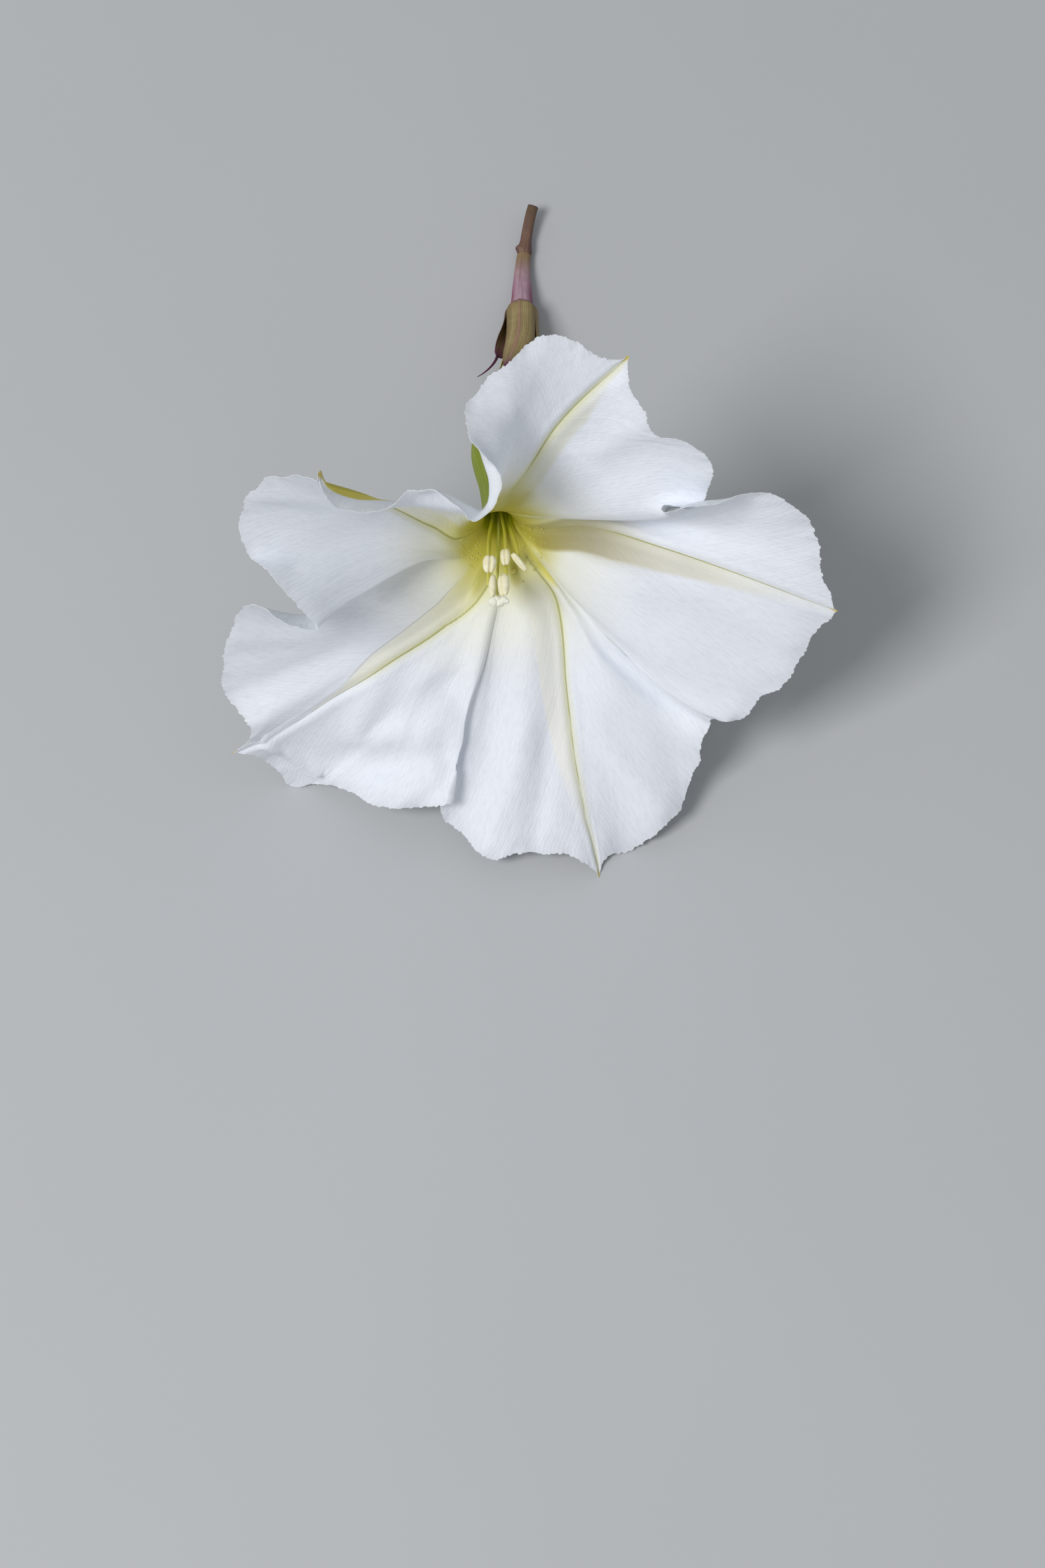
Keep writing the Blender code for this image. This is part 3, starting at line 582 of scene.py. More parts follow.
def closed_grid(rings):
    """Points and faces of a body skinned over closed rings, with a point at each end."""
    count = len(rings[0])
    rings = np.array(rings)
    points = np.concatenate([rings.reshape(-1, 3), [rings[0].mean(0)], [rings[-1].mean(0)]])
    foot = len(rings) * count
    last = foot - count
    pairs = [(i, (i + 1) % count) for i in range(count)]
    faces = [(j + i, j + k, j + count + k, j + count + i) for j in range(0, last, count)
             for i, k in pairs]
    for i, k in pairs:
        faces.extend([(foot, k, i), (foot + 1, last + i, last + k)])
    triangles = [(face[0], *face[i:i + 2]) for face in faces for i in range(1, len(face) - 1)]
    if faces_inwards(points, np.array(triangles)):
        faces = [face[::-1] for face in faces]
    return points, faces


# ---------------------------------------------------------------- the corolla

def waves(positions, length, cell, seed):
    """Smooth uneven waves, from -1 to 1, along a closed line of the given length."""
    count = max(3, int(round(length / cell)))
    heights = np.random.default_rng(seed).uniform(-1, 1, count)
    where = positions / length % 1.0 * count
    first = np.floor(where).astype(int)
    t = where - first
    t = t * t * (3 - 2 * t)
    return heights[first % count] * (1 - t) + heights[(first + 1) % count] * t


def scallops(positions, length, cell, seed):
    """Rounded teeth of uneven width and depth along a closed line: 0 in the notches, up to 1."""
    count = int(round(length / cell))
    random = np.random.default_rng(seed)
    ends = np.cumsum(random.uniform(0.55, 1.45, count))
    ends = np.concatenate([[0.0], ends / ends[-1] * length])
    depth = random.uniform(0.2, 1.0, count)
    where = positions % length
    tooth = np.clip(np.searchsorted(ends, where, side="right") - 1, 0, count - 1)
    t = (where - ends[tooth]) / (ends[tooth + 1] - ends[tooth])
    return depth[tooth] * np.sqrt(np.clip(1 - (2 * t - 1) ** 2, 0, 1))


def from_nearest(places, count):
    """How far places around the limb are from the nearest of so many even marks."""
    return np.abs((places * count + 0.5) % 1.0 - 0.5) / count


def rim_places():
    """Places of the fine columns: even along the rim, closer by the midribs and the pleats."""
    dense = np.linspace(0, 1, HALVES * HALF_STEPS + 1)
    steps = np.linalg.norm(np.diff(around(*RIM_CURVE, dense), axis=0), axis=1)
    beside = from_nearest((dense[1:] + dense[:-1]) / 2, HALVES)
    weight = steps * (1 + CLOSER * np.exp(-(beside / CLOSER_REACH) ** 2))
    parts = [weight[i * HALF_STEPS:(i + 1) * HALF_STEPS] for i in range(HALVES)]
    total = sum(p.sum() for p in parts)
    counts = [int(round(p.sum() / total * RIM_COLUMNS / INNER_SKIP)) * INNER_SKIP for p in parts]
    counts[int(np.argmax(counts))] += RIM_COLUMNS - sum(counts)
    places = []
    for i, (part, count) in enumerate(zip(parts, counts)):
        gone = np.concatenate([[0.0], np.cumsum(part)])
        gone /= gone[-1]
        along = np.interp(np.arange(count) / count, gone, np.linspace(0, 1 / HALVES, HALF_STEPS + 1))
        places.append(i / HALVES + along)
    return np.concatenate(places), counts


def ring_lengths(grid):
    """Length along each ring up to each column, and each ring's whole length."""
    steps = np.linalg.norm(np.roll(grid, -1, 0) - grid, axis=2)
    gone = np.concatenate([np.zeros((1, grid.shape[1])), np.cumsum(steps, axis=0)])
    return gone[:-1], gone[-1]


def spoke_lengths(grid):
    """Length along each spoke from the throat, negative inside it, and to the rim."""
    steps = np.linalg.norm(np.diff(grid, axis=1), axis=2)
    gone = np.concatenate([np.zeros((grid.shape[0], 1)), np.cumsum(steps, axis=1)], axis=1)
    start = int(np.argmin(np.abs(ALL_RADIALS)))
    return gone - gone[:, start:start + 1], gone[:, -1:] - gone


def corolla_numbers(grid, places, counts):
    """What the petal's colour follows: distances in mm from throat, rim, midrib and band."""
    run, to_rim = spoke_lengths(grid)
    gone, whole = ring_lengths(grid)
    firsts = np.concatenate([[0], np.cumsum(counts)])
    rib, vein, band = np.zeros((3, *run.shape))
    for half in range(HALVES):
        lobe = (half + 1) // 2 % LOBES
        before_rib = half % 2 == 1
        a, b = firsts[half], firsts[half + 1]
        start = gone[a]
        end = whole if b == len(places) else gone[b]
        column = slice(a, b)
        distance = (end - gone[column]) if before_rib else (gone[column] - start)
        share = distance / (end - start)
        vein[column] = np.maximum(ALL_RADIALS, 0)[None, :] * (1 - share)
        swing = np.interp(run[column], RIB_RUNS, RIB_SWINGS[lobe])
        side = distance + swing if before_rib else swing - distance
        rib[column] = np.abs(side)
        width = np.interp(run[column], BAND_RUNS, BAND_WIDTHS[lobe])
        width = np.minimum(width, BAND_SHARE * (end - start) + swing)
        band[column] = np.where(side >= 0, width - side, 4 * side - 0.4)
    return {"run": run, "to_rim": to_rim, "rib": rib, "vein": vein, "band": band}


def folded(grid, normal):
    """The sheet with its soft folds."""
    flat = grid.reshape(-1, 3)
    rise = np.zeros(len(flat))
    for half_width, height, stations in FOLDS:
        line = smooth_path([limb([place], [radial])[0, 0] for place, radial in stations], FOLD_STEPS)
        away = np.linalg.norm(flat[::FOLD_SKIP, None] - line[None, ::4], axis=2)
        reach = np.repeat(away.min(axis=1) < FOLD_REACH, FOLD_SKIP)[:len(flat)]
        some = flat[reach]
        best = np.full(len(some), np.inf)
        gone = np.zeros(len(some))
        for k, (a, b) in enumerate(zip(line, line[1:])):
            along = b - a
            t = np.clip((some - a) @ along / (along @ along), 0, 1)
            away = np.linalg.norm(some - a - t[:, None] * along, axis=1)
            gone = np.where(away < best, (k + t) / (len(line) - 1), gone)
            best = np.minimum(best, away)
        rise[reach] += height * smooth_step(gone, 0.0, 0.35) * np.exp(-(best / half_width) ** 2)
    return grid - normal * rise.reshape(grid.shape[:2])[:, :, None]


def shaped_sheet():
    """The middle of the petal sheet with its rim teeth, points, ruffles, folds and midrib grooves."""
    places, counts = rim_places()
    grid = limb(places, ALL_RADIALS)
    grid = folded(grid, sheet_normal(grid))
    run, to_rim = spoke_lengths(grid)
    gone, whole = ring_lengths(grid)
    along_rim = gone[:, -1]
    rim_length = whole[-1]

    outward = np.gradient(grid, axis=1)
    outward /= np.linalg.norm(outward, axis=2, keepdims=True)
    teeth = TOOTH_DEPTH * scallops(along_rim, rim_length, TOOTH_WIDTH, 11) - TOOTH_SET_BACK
    teeth += TOOTH_SWELL * waves(along_rim, rim_length, 4 * TOOTH_WIDTH, 12)
    calm = smooth_step(from_nearest(places, LOBES), 0.0015, 0.008)
    grid = grid + outward * (teeth * calm)[:, None, None] * smooth_step(to_rim, 2.2, 0.0)[:, :, None]

    starts = along_rim[np.concatenate([[0], np.cumsum(counts)[:-1]])[::2]]
    awn = np.zeros(grid.shape[:2])
    for start, (length, way) in zip(starts, AWNS):
        away = np.abs((along_rim - start + rim_length / 2) % rim_length - rim_length / 2)
        point = np.clip(1 - away / 0.6, 0, 1)[:, None] * smooth_step(to_rim, 2.6, 0.0)
        grid = grid + length * (point ** 1.2)[:, :, None] * unit(way)
        awn = np.maximum(awn, point)

    normal = sheet_normal(grid)
    ruffle = sum(height * waves(along_rim, rim_length, cell, seed)[:, None]
                 * smooth_step(to_rim, starts_at, full_at)
                 for height, cell, seed, starts_at, full_at in RUFFLES)
    numbers = corolla_numbers(grid, places, counts)
    numbers["awn"] = awn
    rib = numbers["rib"]
    groove = RIB_GROOVE * np.exp(-(rib / 0.6) ** 2) * smooth_step(run, 3.0, 12.0)
    shoulder = RIB_SHOULDER * np.exp(-((rib - 1.7) / 0.8) ** 2) * smooth_step(run, 5.0, 14.0)
    grid = grid + normal * (ruffle * calm[:, None] + groove - shoulder)[:, :, None]
    return grid, places, numbers


def join_rings(low_start, low_count, high_start, high_count):
    """Triangles between two rings where the second has a whole number of times more points."""
    ratio = high_count // low_count
    low = np.arange(low_count)
    low_next = (low + 1) % low_count
    faces = []
    turn = ratio // 2
    for m in range(ratio):
        here = (low * ratio + m) % high_count
        there = (low * ratio + m + 1) % high_count
        anchor = low if m <= turn else low_next
        faces.append(np.stack([low_start + anchor, high_start + there, high_start + here], 1))
        if m == turn:
            faces.append(np.stack([low_start + low, low_start + low_next, high_start + there], 1))
    return np.concatenate(faces)


def join_skins(inner, outer, count):
    """Triangles between the ends of the two skins."""
    i = np.arange(count)
    k = (i + 1) % count
    return np.concatenate([np.stack([inner + i, outer + i, inner + k], 1),
                           np.stack([inner + k, outer + i, outer + k], 1)])


def skin_rings(grid, places, numbers, wall, turn):
    """Rings of one skin from the foot to the rim: points, places and numbers of each."""
    few = places[::TUBE_SKIP]
    for s in TUBE_STATIONS[::-1]:
        rib = from_nearest(few, LOBES) * 2 * math.pi * tube_radius(s)
        yield (circle(few, s, tube_radius(s) + turn * TUBE_WALL / 2), few,
               {"run": s, "to_rim": 60.0, "rib": rib, "vein": 0.0, "band": -9.0, "awn": 0.0})
    skin = grid + turn * sheet_normal(grid) * wall / 2
    for j, skip in enumerate(SKIPS):
        yield (skin[::skip, j], places[::skip],
               {key: values[::skip, j] for key, values in numbers.items()})


def corolla():
    """The trumpet and its tube: an inner and an outer skin joined at the rim and at the foot."""
    grid, places, numbers = shaped_sheet()
    wall = np.interp(ALL_RADIALS, [0.0, 0.12, 0.93, 1.0],
                     [TUBE_WALL, SHEET_WALL, SHEET_WALL, RIM_WALL])[None, :, None]
    points, point_places, skins = [], [], []
    values = {key: [] for key in (*numbers, "outer")}
    total = 0
    for turn in (-1, 1):
        rings = []
        for ring, ring_places, found in skin_rings(grid, places, numbers, wall, turn):
            rings.append((total, len(ring)))
            total += len(ring)
            points.append(ring)
            point_places.append(ring_places)
            for key, value in {**found, "outer": 0.5 + 0.5 * turn}.items():
                values[key].append(np.broadcast_to(value, len(ring)))
        skins.append(rings)
    inner, outer = (np.concatenate([join_rings(*a, *b) for a, b in zip(rings, rings[1:])])
                    for rings in skins)
    (inner_foot, foot_count), (outer_foot, foot_count) = skins[0][0], skins[1][0]
    (inner_rim, rim_count), (outer_rim, rim_count) = skins[0][-1], skins[1][-1]
    faces = np.concatenate([inner[:, ::-1], outer, join_skins(inner_rim, outer_rim, rim_count),
                            join_skins(inner_foot, outer_foot, foot_count)[:, ::-1]])
    points = np.concatenate(points)
    if faces_inwards(points, faces):
        faces = faces[:, ::-1]
    values = {key: np.concatenate(parts) for key, parts in values.items()}
    piece = mesh_piece("petal_sheet", points, faces, values)

    place = np.concatenate(point_places)[faces] * HALVES
    wrapped = place.max(1) - place.min(1) > HALVES / 2
    place[wrapped] = np.where(place[wrapped] < HALVES / 2, place[wrapped] + HALVES, place[wrapped])
    corner_map = np.stack([place, values["run"][faces] * 0.01], 2)
    layer = piece.data.uv_layers.new(name="around_and_along")
    layer.data.foreach_set("uv", np.asarray(corner_map, np.float32).ravel())

    side = np.zeros(len(points), int)
    side[inner_rim:inner_rim + RIM_COLUMNS] = 1
    side[outer_rim:outer_rim + RIM_COLUMNS] = 2
    ends = np.zeros(len(piece.data.edges) * 2, int)
    piece.data.edges.foreach_get("vertices", ends)
    ends = side[ends.reshape(-1, 2)]
    crisp = piece.data.attributes.new("sharp_edge", "BOOLEAN", "EDGE")
    crisp.data.foreach_set("value", (ends[:, 0] > 0) & (ends[:, 0] == ends[:, 1]))
    keep_above_floor(piece, np.where(values["outer"] > 0.5, 0.05, 0.25))
    piece.data.materials.append(petal_material())
    settle(piece, "petal", "corolla")


# ---------------------------------------------------------------- node helpers

class Value:
    """What a node gives. Reckoning with it adds the maths node that does the sum."""

    def __init__(self, socket):
        self.socket = socket
        self.tree = socket.id_data

    def __add__(self, other):
        return calc("ADD", self, other)

    def __sub__(self, other):
        return calc("SUBTRACT", self, other)

    def __rsub__(self, other):
        return calc("SUBTRACT", other, self)

    def __mul__(self, other):
        return calc("MULTIPLY", self, other)

    def __truediv__(self, other):
        return calc("DIVIDE", self, other)

    def __abs__(self):
        return calc("ABSOLUTE", self)


def feed(node, values):
    """Gives a node's inputs plain values, or links from what other nodes give."""
    for key, value in dict(values).items():
        if isinstance(value, Value):
            node.id_data.links.new(value.socket, node.inputs[key])
        else:
            node.inputs[key].default_value = value
    return node


def put(tree, kind, values=(), **settings):
    """A new node with its settings and inputs."""
    made = tree.nodes.new(kind)
    for key, value in settings.items():
        setattr(made, key, value)
    return feed(made, values)


def result_of(tree, kind, values=(), output=0, **settings):
    """What a new node gives."""
    return Value(put(tree, kind, values, **settings).outputs[output])


def tree_of(values):
    """The node tree that the values come from; plain values come from none."""
    return next(value.tree for value in values if isinstance(value, Value))


def calc(operation, *values):
    """The result of a maths node."""
    return result_of(tree_of(values), "ShaderNodeMath", enumerate(values), operation=operation)


def vector(*parts):
    """Up to three numbers as one vector."""
    return result_of(tree_of(parts), "ShaderNodeCombineXYZ", enumerate(parts))


def ramp(value, low, high, start=0.0, end=1.0):
    """A smooth rise from start to end while value goes from low to high."""
    return result_of(value.tree, "ShaderNodeMapRange", {
        "Value": value, "From Min": low, "From Max": high, "To Min": start, "To Max": end,
    }, interpolation_type="SMOOTHSTEP")


def noise(where, scale, detail=2.0, roughness=0.5):
    """Cloudy variation about one half."""
    return result_of(where.tree, "ShaderNodeTexNoise", {
        "Vector": where, "Scale": scale, "Detail": detail, "Roughness": roughness})


def paint(red, green, blue):
    """A colour given in 0 to 255 steps as a shader takes it."""
    result = []
    for value in (red, green, blue):
        value /= 255
        result.append(value / 12.92 if value <= 0.04045 else ((value + 0.055) / 1.055) ** 2.4)
    return (*result, 1.0)


def tint(share, under, over):
    """One colour laid over another by a share."""
    return result_of(share.tree, "ShaderNodeMix", {0: share, 6: under, 7: over}, 2, data_type="RGBA")


def coats(colour, *layers):
    """A colour under others, each laid on by its share."""
    for share, over in layers:
        colour = tint(share, colour, over)
    return colour


def numbers_of(tree, *names):
    """Numbers stored on the piece's points."""
    return [result_of(tree, "ShaderNodeAttribute", output="Fac", attribute_name=name)
            for name in names]


def on_object(tree):
    """Coordinates fixed to the piece, in metres."""
    return result_of(tree, "ShaderNodeTexCoord", output="Object")


def new_group(name, kind, inputs, outputs):
    """An empty node group: its tree, what it is given, by name, and the node of its results."""
    tree = bpy.data.node_groups.new(name, kind)
    for label, socket_kind, value in inputs:
        made = tree.interface.new_socket(label, in_out="INPUT", socket_type="NodeSocket" + socket_kind)
        if value is not None:
            made.default_value = value
    for label, socket_kind in outputs:
        tree.interface.new_socket(label, in_out="OUTPUT", socket_type="NodeSocket" + socket_kind)
    given = tree.nodes.new("NodeGroupInput").outputs
    return tree, {label: Value(given[label]) for label, *_ in inputs}, tree.nodes.new("NodeGroupOutput")


def vein_group():
    """Fine even veins that leave a midrib and run on side by side; used on petals and sepals."""
    tree, given, result = new_group(
        "fine_veins", "ShaderNodeTree",
        (("Across", "Float", 0.0), ("Along", "Float", 0.0), ("Half", "Float", 0.0),
         ("Count", "Float", 40.0)),
        (("Tone", "Float"), ("Height", "Float"), ("Broad", "Float")))
    across = given["Across"] * given["Count"]
    half = calc("FLOOR", given["Half"]) * 7.31
    where = vector(across, given["Along"] * 0.06, half)
    phase = across + noise(where, 0.45) * 2.6
    saw = abs(calc("FRACT", phase) - 0.5)
    each = result_of(tree, "ShaderNodeTexWhiteNoise", {"Vector": vector(calc("FLOOR", phase), half)})
    patchy = ramp(noise(where, 0.30, 1.0), 0.35, 0.65, 0.35, 1.0)
    feed(result, {"Tone": ramp(saw, 0.17, 0.02) * (each * patchy), "Height": ramp(saw, 0.0, 0.40),
                  "Broad": noise(where, 0.22)})
    return tree


def mottle_group():
    """Uneven cloudy patches with fine grain in them; used on every surface but the floor."""
    tree, given, result = new_group(
        "mottle", "ShaderNodeTree",
        (("Vector", "Vector", None), ("Patch Scale", "Float", 300.0), ("Grain Scale", "Float", 3000.0)),
        (("Patches", "Float"), ("Grain", "Float")))
    patches = noise(given["Vector"], given["Patch Scale"], 3.0, 0.55)
    feed(result, {"Patches": ramp(patches, 0.3, 0.7),
                  "Grain": noise(given["Vector"], given["Grain Scale"], 2.0, 0.6)})
    return tree


VEINS = vein_group()
MOTTLE = mottle_group()


def group_results(tree, group, values):
    """What a shader group gives in a material, in the group's order."""
    made = put(tree, "ShaderNodeGroup", values, node_tree=group)
    return [Value(socket) for socket in made.outputs]


def fine_veins(tree, across, along, half, count):
    """Tone, height and broad unevenness of fine veins."""
    return group_results(tree, VEINS, {"Across": across, "Along": along, "Half": half, "Count": count})


def mottle(tree, patch_scale, grain_scale):
    """Cloudy patches and fine grain."""
    return group_results(tree, MOTTLE, {"Vector": on_object(tree), "Patch Scale": patch_scale,
                                        "Grain Scale": grain_scale})


def dress(material, **inputs):
    """Gives the material's shader its inputs, named with _ for each space."""
    shader = material.node_tree.nodes["Principled BSDF"]
    feed(shader, {key.replace("_", " "): value for key, value in inputs.items()})
    return material


def new_material(name, **even):
    """A material and its tree; even holds what is the same all over."""
    material = bpy.data.materials.new(name)
    material.use_nodes = True
    return dress(material, **even), material.node_tree


def relief(height, distance):
    """Bumps from a height between 0 and 1, as high as the distance in metres."""
    return result_of(height.tree, "ShaderNodeBump", {"Height": height, "Distance": distance})


# ---------------------------------------------------------------- materials

def spot(place, run, middle, reach):
    """A soft patch on the petal about a place and a run; reach is its half-size in each."""
    first = (place - middle[0] * 10) / (reach[0] * 10)
    second = (run - middle[1]) / reach[1]
    return ramp(first * first + second * second, 1.0, 0.0)


def petal_face(place, run, rib, band, to_rim, tone, patches, streaks):
    """Inner face: green throat, cream half-bands beside olive midribs, faint veins and streaks; painted
    shade on the upper and east lobes, in creases and beside the stamens, and painted light on the south
    lobe's band, in a hollow by the throat and inside the tube.
    """
    from_pleat = abs(place - 5.0)
    east = ramp(from_pleat, 4.0, 4.2)
    upper, west, south = (ramp(abs(place - tip), 1.0, 0.9) for tip in (2.0, 6.0, 8.0))
    in_band = ramp(band, -0.5, 0.8)

    white = coats(
        paint(237, 241, 250), (patches * 0.5, paint(230, 235, 246)),
        (tone * 0.24, paint(196, 202, 214)),
        (ramp(streaks, 0.42, 0.70, 0.0, 0.34), paint(212, 217, 228)),
        (ramp(run, 38.0, 14.0, 0.0, 0.72), paint(237, 236, 208)))
    # Band cream. On the east and upper lobes it is dulled to beige as painted shade; on the south lobe
    # it is lightened as painted light.
    cream = coats(
        paint(238, 234, 208), (east * ramp(run, 58.0, 42.0), paint(209, 203, 178)),
        (south, paint(250, 247, 232)), (upper, paint(217, 216, 194)))
    # A thin grey line along the west lobe's band edge: painted shade in the crease there.
    crease_shade_line = ramp(abs(band), 0.30, 0.08) * west * ramp(run, 50.0, 42.0)
    # Olive near the throat on the upper and east lobes: partly the throat's own green, partly painted
    # shade on those lobes.
    throat = upper * ramp(run, 25.0, 13.0, 0.0, 0.92) + east * ramp(run, 19.0, 9.0, 0.0, 0.85)
    # Painted shade: the east lobe's band and the strip along its midrib turn dark olive-beige from about
    # 7 to 42 mm out.
    shade = calc("MAXIMUM", in_band * east, ramp(from_pleat, 4.6, 4.85))
    colour = coats(
        white,
        (in_band * ramp(run, 72.0, 46.0, 0.10, 0.72), cream),
        # Bands go olive near the throat, their own colour; the darker olive on the east lobe is painted
        # shade.
        (in_band * ramp(run, 28.0, 6.0, 0.0, 0.85) * ramp(south, 0.0, 1.0, 1.0, 0.3),
         tint(east, paint(212, 206, 136), paint(166, 157, 112))),
        (crease_shade_line * ramp(run, 12.0, 20.0, 0.0, 0.5), paint(176, 178, 170)),
        (ramp(run, 20.0, 6.0, 0.0, 0.95), paint(212, 203, 84)),
        (throat, paint(192, 181, 72)),
        # the east lobe's painted shade
        (shade * ramp(run, 42.0, 22.0, 0.0, 0.75) * ramp(run, 7.0, 14.0),
         tint(ramp(run, 16.0, 26.0), paint(154, 143, 76), paint(156, 148, 116))),
        # Throat patches: painted shadow in the olive ones, painted light in one of the golden ones.
        *((spot(place, run, middle, reach) * strength, paint(*over))
          for middle, reach, strength, over in THROAT_PATCHES),
        (ramp(run, 3.6, 0.5), paint(202, 200, 42)),
        # Inside the tube the green is lightened further in: partly its own colour, partly painted light
        # for light that passes through the thin wall.
        (ramp(run, 1.2, -2.0), paint(216, 224, 40)),
        (ramp(run, -16.0, -44.0), paint(168, 184, 32)))

    far_west = west * ramp(run, 38.0, 50.0)
    halo = ramp(rib, 1.8, 0.2) * ramp(run, 5.0, 14.0, 0.0, 0.50)
    plain = calc("MAXIMUM", far_west, east * 0.8)
    bare = calc("MAXIMUM", ramp(from_pleat, 4.4, 4.6), upper) * ramp(run, 34.0, 22.0, 0.0, 0.85)
    line = ramp(rib / ramp(run, 8.0, 66.0, 0.32, 0.14), 1.25, 0.45)
    line = line * ramp(run, 3.0, 16.0, 0.15, 1.0) * (1.0 - bare) * ramp(to_rim, 0.0, 16.0, 0.45, 1.0)
    return coats(colour, (halo * (1.0 - plain), paint(222, 220, 164)),
                 # On the west lobe's outer half the midrib line turns grey: painted shade in its crease.
                 (line * 0.74, tint(far_west, paint(156, 156, 66), paint(170, 171, 166))))


def petal_back(place, run, rib, to_rim, tone):
    """Outer face: cooler white, a yellow-green band along each midrib, a green tube with streaks."""
    in_band = ramp(rib - ramp(to_rim, 0.0, 10.0, 0.5, 3.4), 0.4, -0.5)
    tube_streaks = ramp(noise(vector(place * 5.0, run * 0.05), 1.0, 3.0), 0.42, 0.62)
    return coats(
        paint(228, 233, 239), (ramp(run, 46.0, 12.0, 0.0, 0.55), paint(216, 223, 196)),
        (tone * 0.26, paint(190, 198, 194)),
        (in_band * ramp(run, 8.0, 24.0), paint(206, 193, 84)),
        (ramp(rib, 0.75, 0.25) * 0.8, paint(176, 166, 62)),
        (ramp(run, 24.0, 2.0), paint(168, 176, 84)),
        (ramp(run, 6.0, -12.0), paint(128, 144, 36)),
        (tube_streaks * ramp(run, -2.0, -14.0, 0.0, 0.45), paint(162, 172, 72)),
        (ramp(run, -28.0, -72.0, 0.0, 0.6), paint(176, 180, 104)))


def petal_material():
    """White satin petal that lets some light through."""
    material, tree = new_material(
        "petal", Subsurface_Weight=0.42, Subsurface_Radius=(1.0, 1.0, 0.92),
        Subsurface_Scale=0.0011, Specular_IOR_Level=0.35)
    run, rib, band, to_rim, vein, outer, awn = numbers_of(
        tree, "run", "rib", "band", "to_rim", "vein", "outer", "awn")
    place = result_of(tree, "ShaderNodeSeparateXYZ", {0: result_of(tree, "ShaderNodeUVMap")})
    tone, height, broad = fine_veins(tree, vein, run, place, 56.0)
    patches, grain = mottle(tree, 70.0, 2600.0)
    streaks = noise(vector(place * 60.0, run * 0.35), 1.0, 3.0, 0.6)
    face = petal_face(place, run, rib, band, to_rim, tone, patches, streaks)
    colour = coats(face, (outer, petal_back(place, run, rib, to_rim, tone)),
                   (ramp(awn, 0.25, 0.8), paint(204, 184, 88)))
    bumps = height * ramp(to_rim, 26.0, 0.0, 0.05, 0.085) + broad * 0.8
    bumps = bumps * ramp(run, 4.0, 22.0) + streaks * 0.22 + grain * 0.10
    return dress(material, Base_Color=colour, Roughness=grain * 0.18 + 0.44,
                 Normal=relief(bumps, 0.00026))


def strand_material(name, foot, middle, tip):
    """Juicy strands that pale towards their tips."""
    material, tree = new_material(
        name, Subsurface_Weight=0.3, Roughness=0.42, Subsurface_Radius=(1.0, 1.0, 0.5),
        Subsurface_Scale=0.0008)
    [along] = numbers_of(tree, "along")
    patches, grain = mottle(tree, 700.0, 5000.0)
    colour = coats(foot, (ramp(along, 0.35, 0.85), middle), (ramp(along, 0.82, 1.0), tip),
                   (patches * 0.25, paint(196, 196, 120)))
    return dress(material, Base_Color=colour, Normal=relief(grain, 0.00004))


def pollen_material(name, light, dark):
    """Mealy surface of anthers and stigma; the ovary and its nectary have it too. The dark colour goes
    on in patches, and as painted shade in the anthers' clefts.
    """
    material, tree = new_material(
        name, Subsurface_Weight=0.2, Subsurface_Radius=(1.0, 0.9, 0.7), Subsurface_Scale=0.0006,
        Specular_IOR_Level=0.25)
    patches, grain = mottle(tree, 900.0, 7000.0)
    [cleft_shade] = numbers_of(tree, "cleft_shade")
    # the dark colour also goes into the anthers' clefts as painted shade
    return dress(material, Base_Color=coats(light, (patches * 0.5, dark), (cleft_shade, dark)),
                 Roughness=ramp(grain, 0.3, 0.7, 0.62, 0.9), Normal=relief(grain, 0.00006))


def sepal_material(name, blade, nerve, edge, awn):
    """Leathery sepal with a flushed midnerve, paler edges and a dark soft awn."""
    material, tree = new_material(
        name, Subsurface_Weight=0.1, Subsurface_Scale=0.0006, Specular_IOR_Level=0.4)
    along, across = numbers_of(tree, "along", "across")
    side = abs(across)
    tone, height, _ = fine_veins(tree, across, along, 0.0, 9.0)
    patches, grain = mottle(tree, 420.0, 3600.0)
    streaks = noise(vector(across * 3.2, along * 1.3, 0.7), 1.0, 3.0)
    vein_colour = tuple((a + b) / 2 for a, b in zip(edge, nerve))
    colour = coats(
        blade, (patches * 0.5, edge), (tone * 0.32, vein_colour),
        (ramp(streaks, 0.46, 0.64, 0.0, 0.55), edge),
        (ramp(streaks, 0.46, 0.30, 0.0, 0.40), paint(186, 172, 124)),
        (ramp(side, 0.62, 1.0), edge),
        (ramp(side, 0.16, 0.03) * ramp(along, 0.0, 0.9, 0.35, 0.8), nerve),
        (ramp(along, 0.84, 1.04), awn), (ramp(along, 0.07, 0.0, 0.0, 0.7), awn))
    return dress(material, Base_Color=colour, Roughness=ramp(grain, 0.2, 0.8, 0.42, 0.62),
                 Normal=relief(height * 0.5 + grain, 0.00010))


def stem_material(name, near, flush, far, dark):
    """Stem skin: flushed by the calyx, darker in streaks towards the far end; one side is left pale as a
    painted highlight, and the flush on the sides turned from it is partly its own colour and partly
    painted shade.
    """
    material, tree = new_material(
        name, Subsurface_Weight=0.12, Subsurface_Scale=0.0008, Specular_IOR_Level=0.45)
    along, facing, aside = numbers_of(tree, "along", "facing", "aside")
    patches, grain = mottle(tree, 380.0, 3400.0)
    streaks = noise(vector(facing * 3.5, aside * 3.5, along * 1.6), 1.0, 3.0)
    colour = coats(
        # near stays on the side with the painted highlight; flush covers the sides turned from it,
        # partly real colour, partly painted shade.
        near, (ramp(facing, 0.96, 0.45) * ramp(along, 0.80, 0.12), flush),
        (ramp(along, 0.45, 0.95), far), (ramp(streaks, 0.5, 0.75) * 0.55, dark),
        (patches * 0.25, dark))
    return dress(material, Base_Color=colour, Roughness=ramp(grain, 0.2, 0.8, 0.38, 0.6),
                 Normal=relief(streaks + grain, 0.00014))


